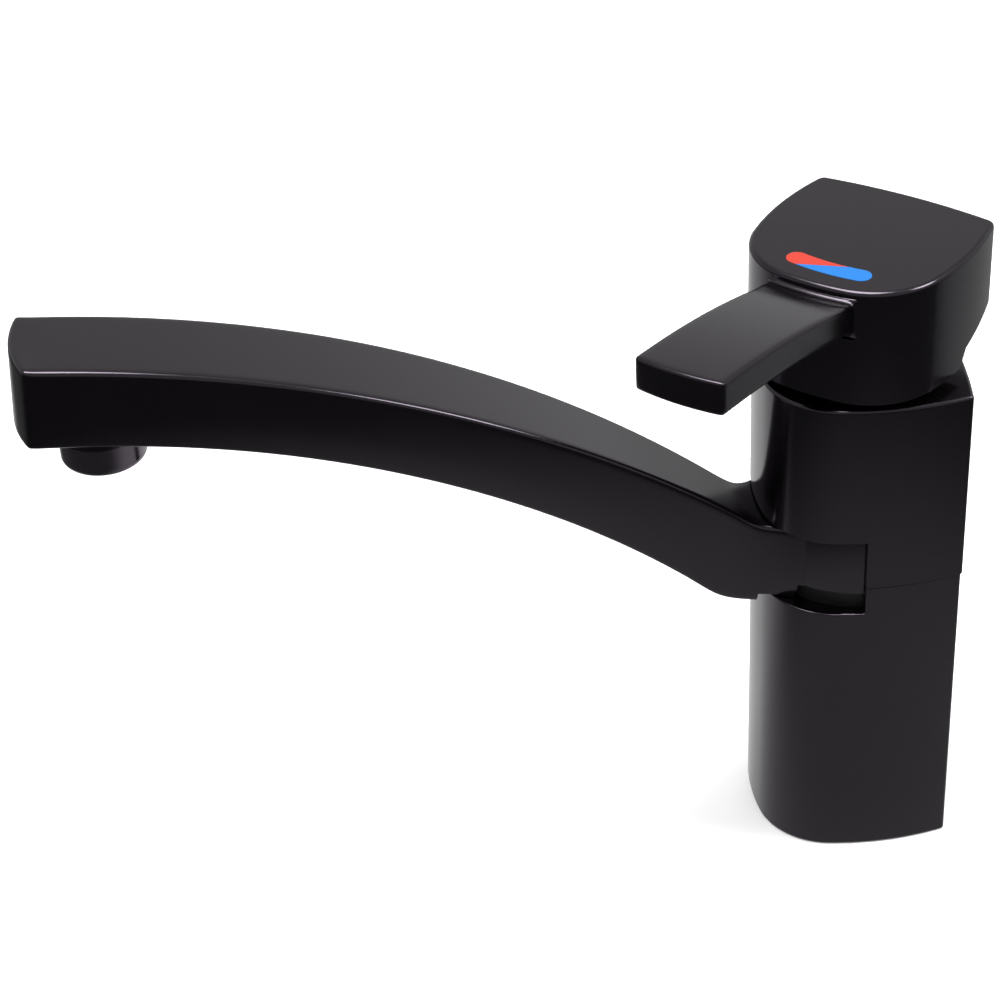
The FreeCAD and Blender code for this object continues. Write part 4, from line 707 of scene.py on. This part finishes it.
def drawSpout():
    shape, near = spoutShape, spoutShape["rowNear"]
    stations = [spoutStation(along) for along in shape["stations"]]
    rows, columns = len(shape["sideRows"]) - 1, shape["columns"]
    piece = startSection("archedSpout", columns, rows, stations[0])
    along, _, under, top = stations[0]
    levels = [top - (top - under) * row / rows for row in range(rows + 1)]
    for level, factor in zip(levels, shape["sideRows"]):    # barrel sides that tuck in below
        pick(piece, "verts", lambda place: abs(place.z - level) < near)
        bpy.ops.transform.resize(value=(factor, 1, 1), center_override=(0, -along, level))
    bpy.ops.mesh.select_all(action="SELECT")
    pullAlong(stations)
    lean = math.tan(math.radians(shape["tipLean"]))
    tip = shape["tipNear"] - along
    for level in levels:    # the end face leans out below
        pick(piece, "verts", lambda place: place.y < tip and abs(place.z - level) < near)
        bpy.ops.transform.translate(value=(0, (level - (top + under) / 2) * lean, 0))
    tip = shape["bowNear"] - along
    bowEnd(piece, stations[0], columns, shape["tipBow"], lambda place: place.y < tip)
    roundLong(piece, shape["edge"])
    return piece


def makeSpout():
    shape, vertices = spoutShape, spoutShape["collarVertices"]
    piece = drawSpout()
    combine(piece, "UNION", makeBar(*shape["collar"], edge=shape["collarRim"], vertices=vertices))
    for radius, high in shape["reliefs"]:
        cut(piece, makeBar(radius, high - shape["reliefDepth"], high, vertices=vertices))
    cut(piece, makeBar(*shape["bore"]))
    along, face, radius, bore, depth = shape["outlet"]
    place, vertices = (0, -along), shape["outletVertices"]
    combine(piece, "UNION", makeBar(radius, face, face + shape["outletRoot"], place, vertices=vertices))
    cut(piece, makeBar(bore, face - shape["outletLead"], face + depth, place, vertices=vertices))
    settle(piece, shape["yaw"], blackCoat, "swivel_spout", "black_coating", "spout")


makeSpout()
print("spout made")


leverShape = {
    "yaw": 48.8, "halfWidth": 0.01085, "tipBow": 0.060, "tipStart": 0.0812, "columns": 8, "rows": 4,
    "topArch": (0.10087, -0.09944, 0.2720), "topDrop": 0.0002, "underArch": (0.10492, -0.16580, 0.3300),
    "heelStart": 0.0315, "face": 0.0245, "heelDrop": 0.0012,
    "stations": [0.0819, 0.0790, 0.0730, 0.0650, 0.0570, 0.0500, 0.0430, 0.0370, 0.0325, 0.0302, 0.0286,
                 0.0274, 0.0265, 0.0258, 0.0252, 0.0248, 0.0245, 0.0221],
    "topRound": 0.0020, "topShare": 0.8, "sideRound": 0.0006, "edge": 0.0008, "rootBow": (-0.0300, -0.0235),
}


def hollowRound(radius, away):
    # how far a hollow fillet of this radius stands out, this far away from the face
    close = min(max(radius - away, 0), radius)
    return radius - math.sqrt(radius ** 2 - close ** 2)


def leverStation(along):
    # the root runs into the cap with a hollow fillet, larger on top
    shape = leverShape
    top, under = arcHeight(shape["topArch"], along), arcHeight(shape["underArch"], along)
    if along < shape["heelStart"]:
        share = (shape["heelStart"] - along) / (shape["heelStart"] - shape["face"])
        under -= shape["heelDrop"] * min(share, 1) ** 2
    away = max(along - shape["face"], 0)
    side = hollowRound(shape["sideRound"], away)
    top += hollowRound(shape["topRound"], away) * shape["topShare"] - shape["topDrop"]
    return along, shape["halfWidth"] + side, under - side, top


def makeLever():
    shape = leverShape
    stations = [leverStation(along) for along in shape["stations"]]
    columns = shape["columns"]
    piece = startSection("handleLever", columns, shape["rows"], stations[0])
    pullAlong(stations)
    bowEnd(piece, stations[0], columns, shape["tipBow"], lambda place: place.y < -shape["tipStart"])
    front, back = shape["rootBow"]    # the root follows the cap's bowed front
    bowEnd(piece, stations[0], columns, planShape["frontR"], lambda place: front < place.y < back)
    roundLong(piece, shape["edge"])
    settle(piece, shape["yaw"], blackCoat, "handle", "black_coating", "handle_lever")


makeLever()
print("lever made")


black = (0, 0, 0, 1)
white = (1, 1, 1, 1)
stageLook = {
    "floorSize": 40.0, "floorLevel": -0.0002, "floorColour": (0.86, 0.86, 0.86, 1), "floorLift": 0.1,
    "floorNoise": (8, 3.0), "floorRough": (0.75, 0.85),
    # painted reflection of the table top, seen only by glossy rays: a bright pool on the camera's side, and a
    # lit band with a dim far end behind the tap
    "reflectionCardSize": 1.6, "reflectionCardLevel": -0.0001,
    "pool": (0.07, 0, 0), "poolEdge": (0.05, 0.22), "poolShades": (0.49, 0.07),
    "backSide": (0.0, 0.10), "backShades": (0.92, 0.34), "backEdge": (-0.045, 0.045),
    "backEnd": (-0.34, -0.25), "backEndShades": (0.1, 1.0),
    "skyBright": 1.0, "skyFront": (0.05, 0.45), "skyDark": (0.02, 0.02, 0.02, 1),
    "skyStops": [    # height of the direction from straight down to straight up, brightness
        (0.0, 0.45), (0.5, 0.50), (0.51, 0.70), (0.62, 0.66),
        (0.72, 0.58), (0.80, 0.54), (0.90, 0.6), (1.0, 0.8),
    ],
    "lamps": [((0.05, -0.15, 1.20), 0.75, 22), ((0.154, 0.742, 0.898), 0.48, 9)],    # place, size, power
}


def addPlane(name, size, level):
    bpy.ops.mesh.primitive_plane_add(size=size, location=(0, 0, level))
    plane = bpy.context.object
    plane.name = name
    return plane


def addStage():
    # pale floor; what glossy surfaces see of it is a painted reflection instead: a glowing card under the tap
    # whose pool and bands paint the reflected floor onto the tap
    clearSelection()
    look = stageLook
    floor = addPlane("floor", look["floorSize"], look["floorLevel"])
    paint = Finish("floorPaint", {
        "Base Color": look["floorColour"], "Emission Color": white, "Emission Strength": look["floorLift"]})
    paint.set("Roughness", paint.between(paint.noise(*look["floorNoise"]), *look["floorRough"]))
    floor.data.materials.append(paint.material)
    floor.visible_glossy = False
    reflectionCard = addPlane("paintedReflection", look["reflectionCardSize"], look["reflectionCardLevel"])
    reflectionPaint = Finish("paintedReflection", {"Base Color": black, "Emission Strength": 1.0, "Specular IOR Level": 0.0})
    x, y, _ = reflectionPaint.parts(reflectionPaint.place)
    spread = reflectionPaint.node("ShaderNodeVectorMath", {"operation": "DISTANCE"}, {0: reflectionPaint.place, 1: look["pool"]},
                       output="Value")
    pool = reflectionPaint.soft(spread, *look["poolShades"], *look["poolEdge"])
    back = reflectionPaint.soft(y, *look["backShades"], *look["backSide"])
    back = back * reflectionPaint.soft(y, *look["backEndShades"], *look["backEnd"])
    # painted reflection: the pool and the lit band behind the tap set how bright the reflected floor shows on
    # the glossy tap
    lit = pool + (back - pool) * reflectionPaint.soft(x, 1.0, 0.0, *look["backEdge"])
    reflectionPaint.set("Emission Color", reflectionPaint.blend(lit, black, white))
    reflectionCard.data.materials.append(reflectionPaint.material)
    # the card is hidden from the camera, from diffuse light and from shadows, so it shows only as a painted
    # reflection
    reflectionCard.visible_camera = reflectionCard.visible_diffuse = reflectionCard.visible_shadow = reflectionCard.visible_transmission = False


def addSky():
    # white studio tent above, with a dim room below the horizon that is dark towards the camera
    look = stageLook
    world = bpy.data.worlds.new("studio")
    bpy.context.scene.world = world
    world.use_nodes = True
    sky = NodeWriter(world.node_tree)
    x, _, z = sky.parts(sky.node("ShaderNodeTexCoord", output="Generated"))
    stops = [(position, (shade, shade, shade, 1)) for position, shade in look["skyStops"]]
    height = sky.between(z, 0.0, 1.0, start=-1.0)
    room = sky.node("ShaderNodeValToRGB", {"stops": stops}, {0: height}, output="Color")
    below = sky.node("ShaderNodeMath", {"operation": "LESS_THAN"}, {0: z, 1: 0.0})
    front = sky.between(x, 0.0, 1.0, *look["skyFront"])
    background = world.node_tree.nodes["Background"]
    sky.feed(background.inputs["Color"], sky.blend(front * below, room, look["skyDark"]))
    sky.feed(background.inputs["Strength"], look["skyBright"])


def addLamps():
    # round soft boxes, which draw the bright lines on the rounded edges
    for place, size, power in stageLook["lamps"]:
        data = bpy.data.lights.new("softBox", "AREA")
        data.shape = "DISK"
        data.size = size
        data.energy = power
        lamp = bpy.data.objects.new("softBox", data)
        lamp.location = place
        lamp.rotation_euler = lamp.location.to_track_quat("Z", "Y").to_euler()
        bpy.context.scene.collection.objects.link(lamp)


addStage()
addSky()
addLamps()
bpy.context.scene.view_settings.view_transform = "Standard"
print("stage set")
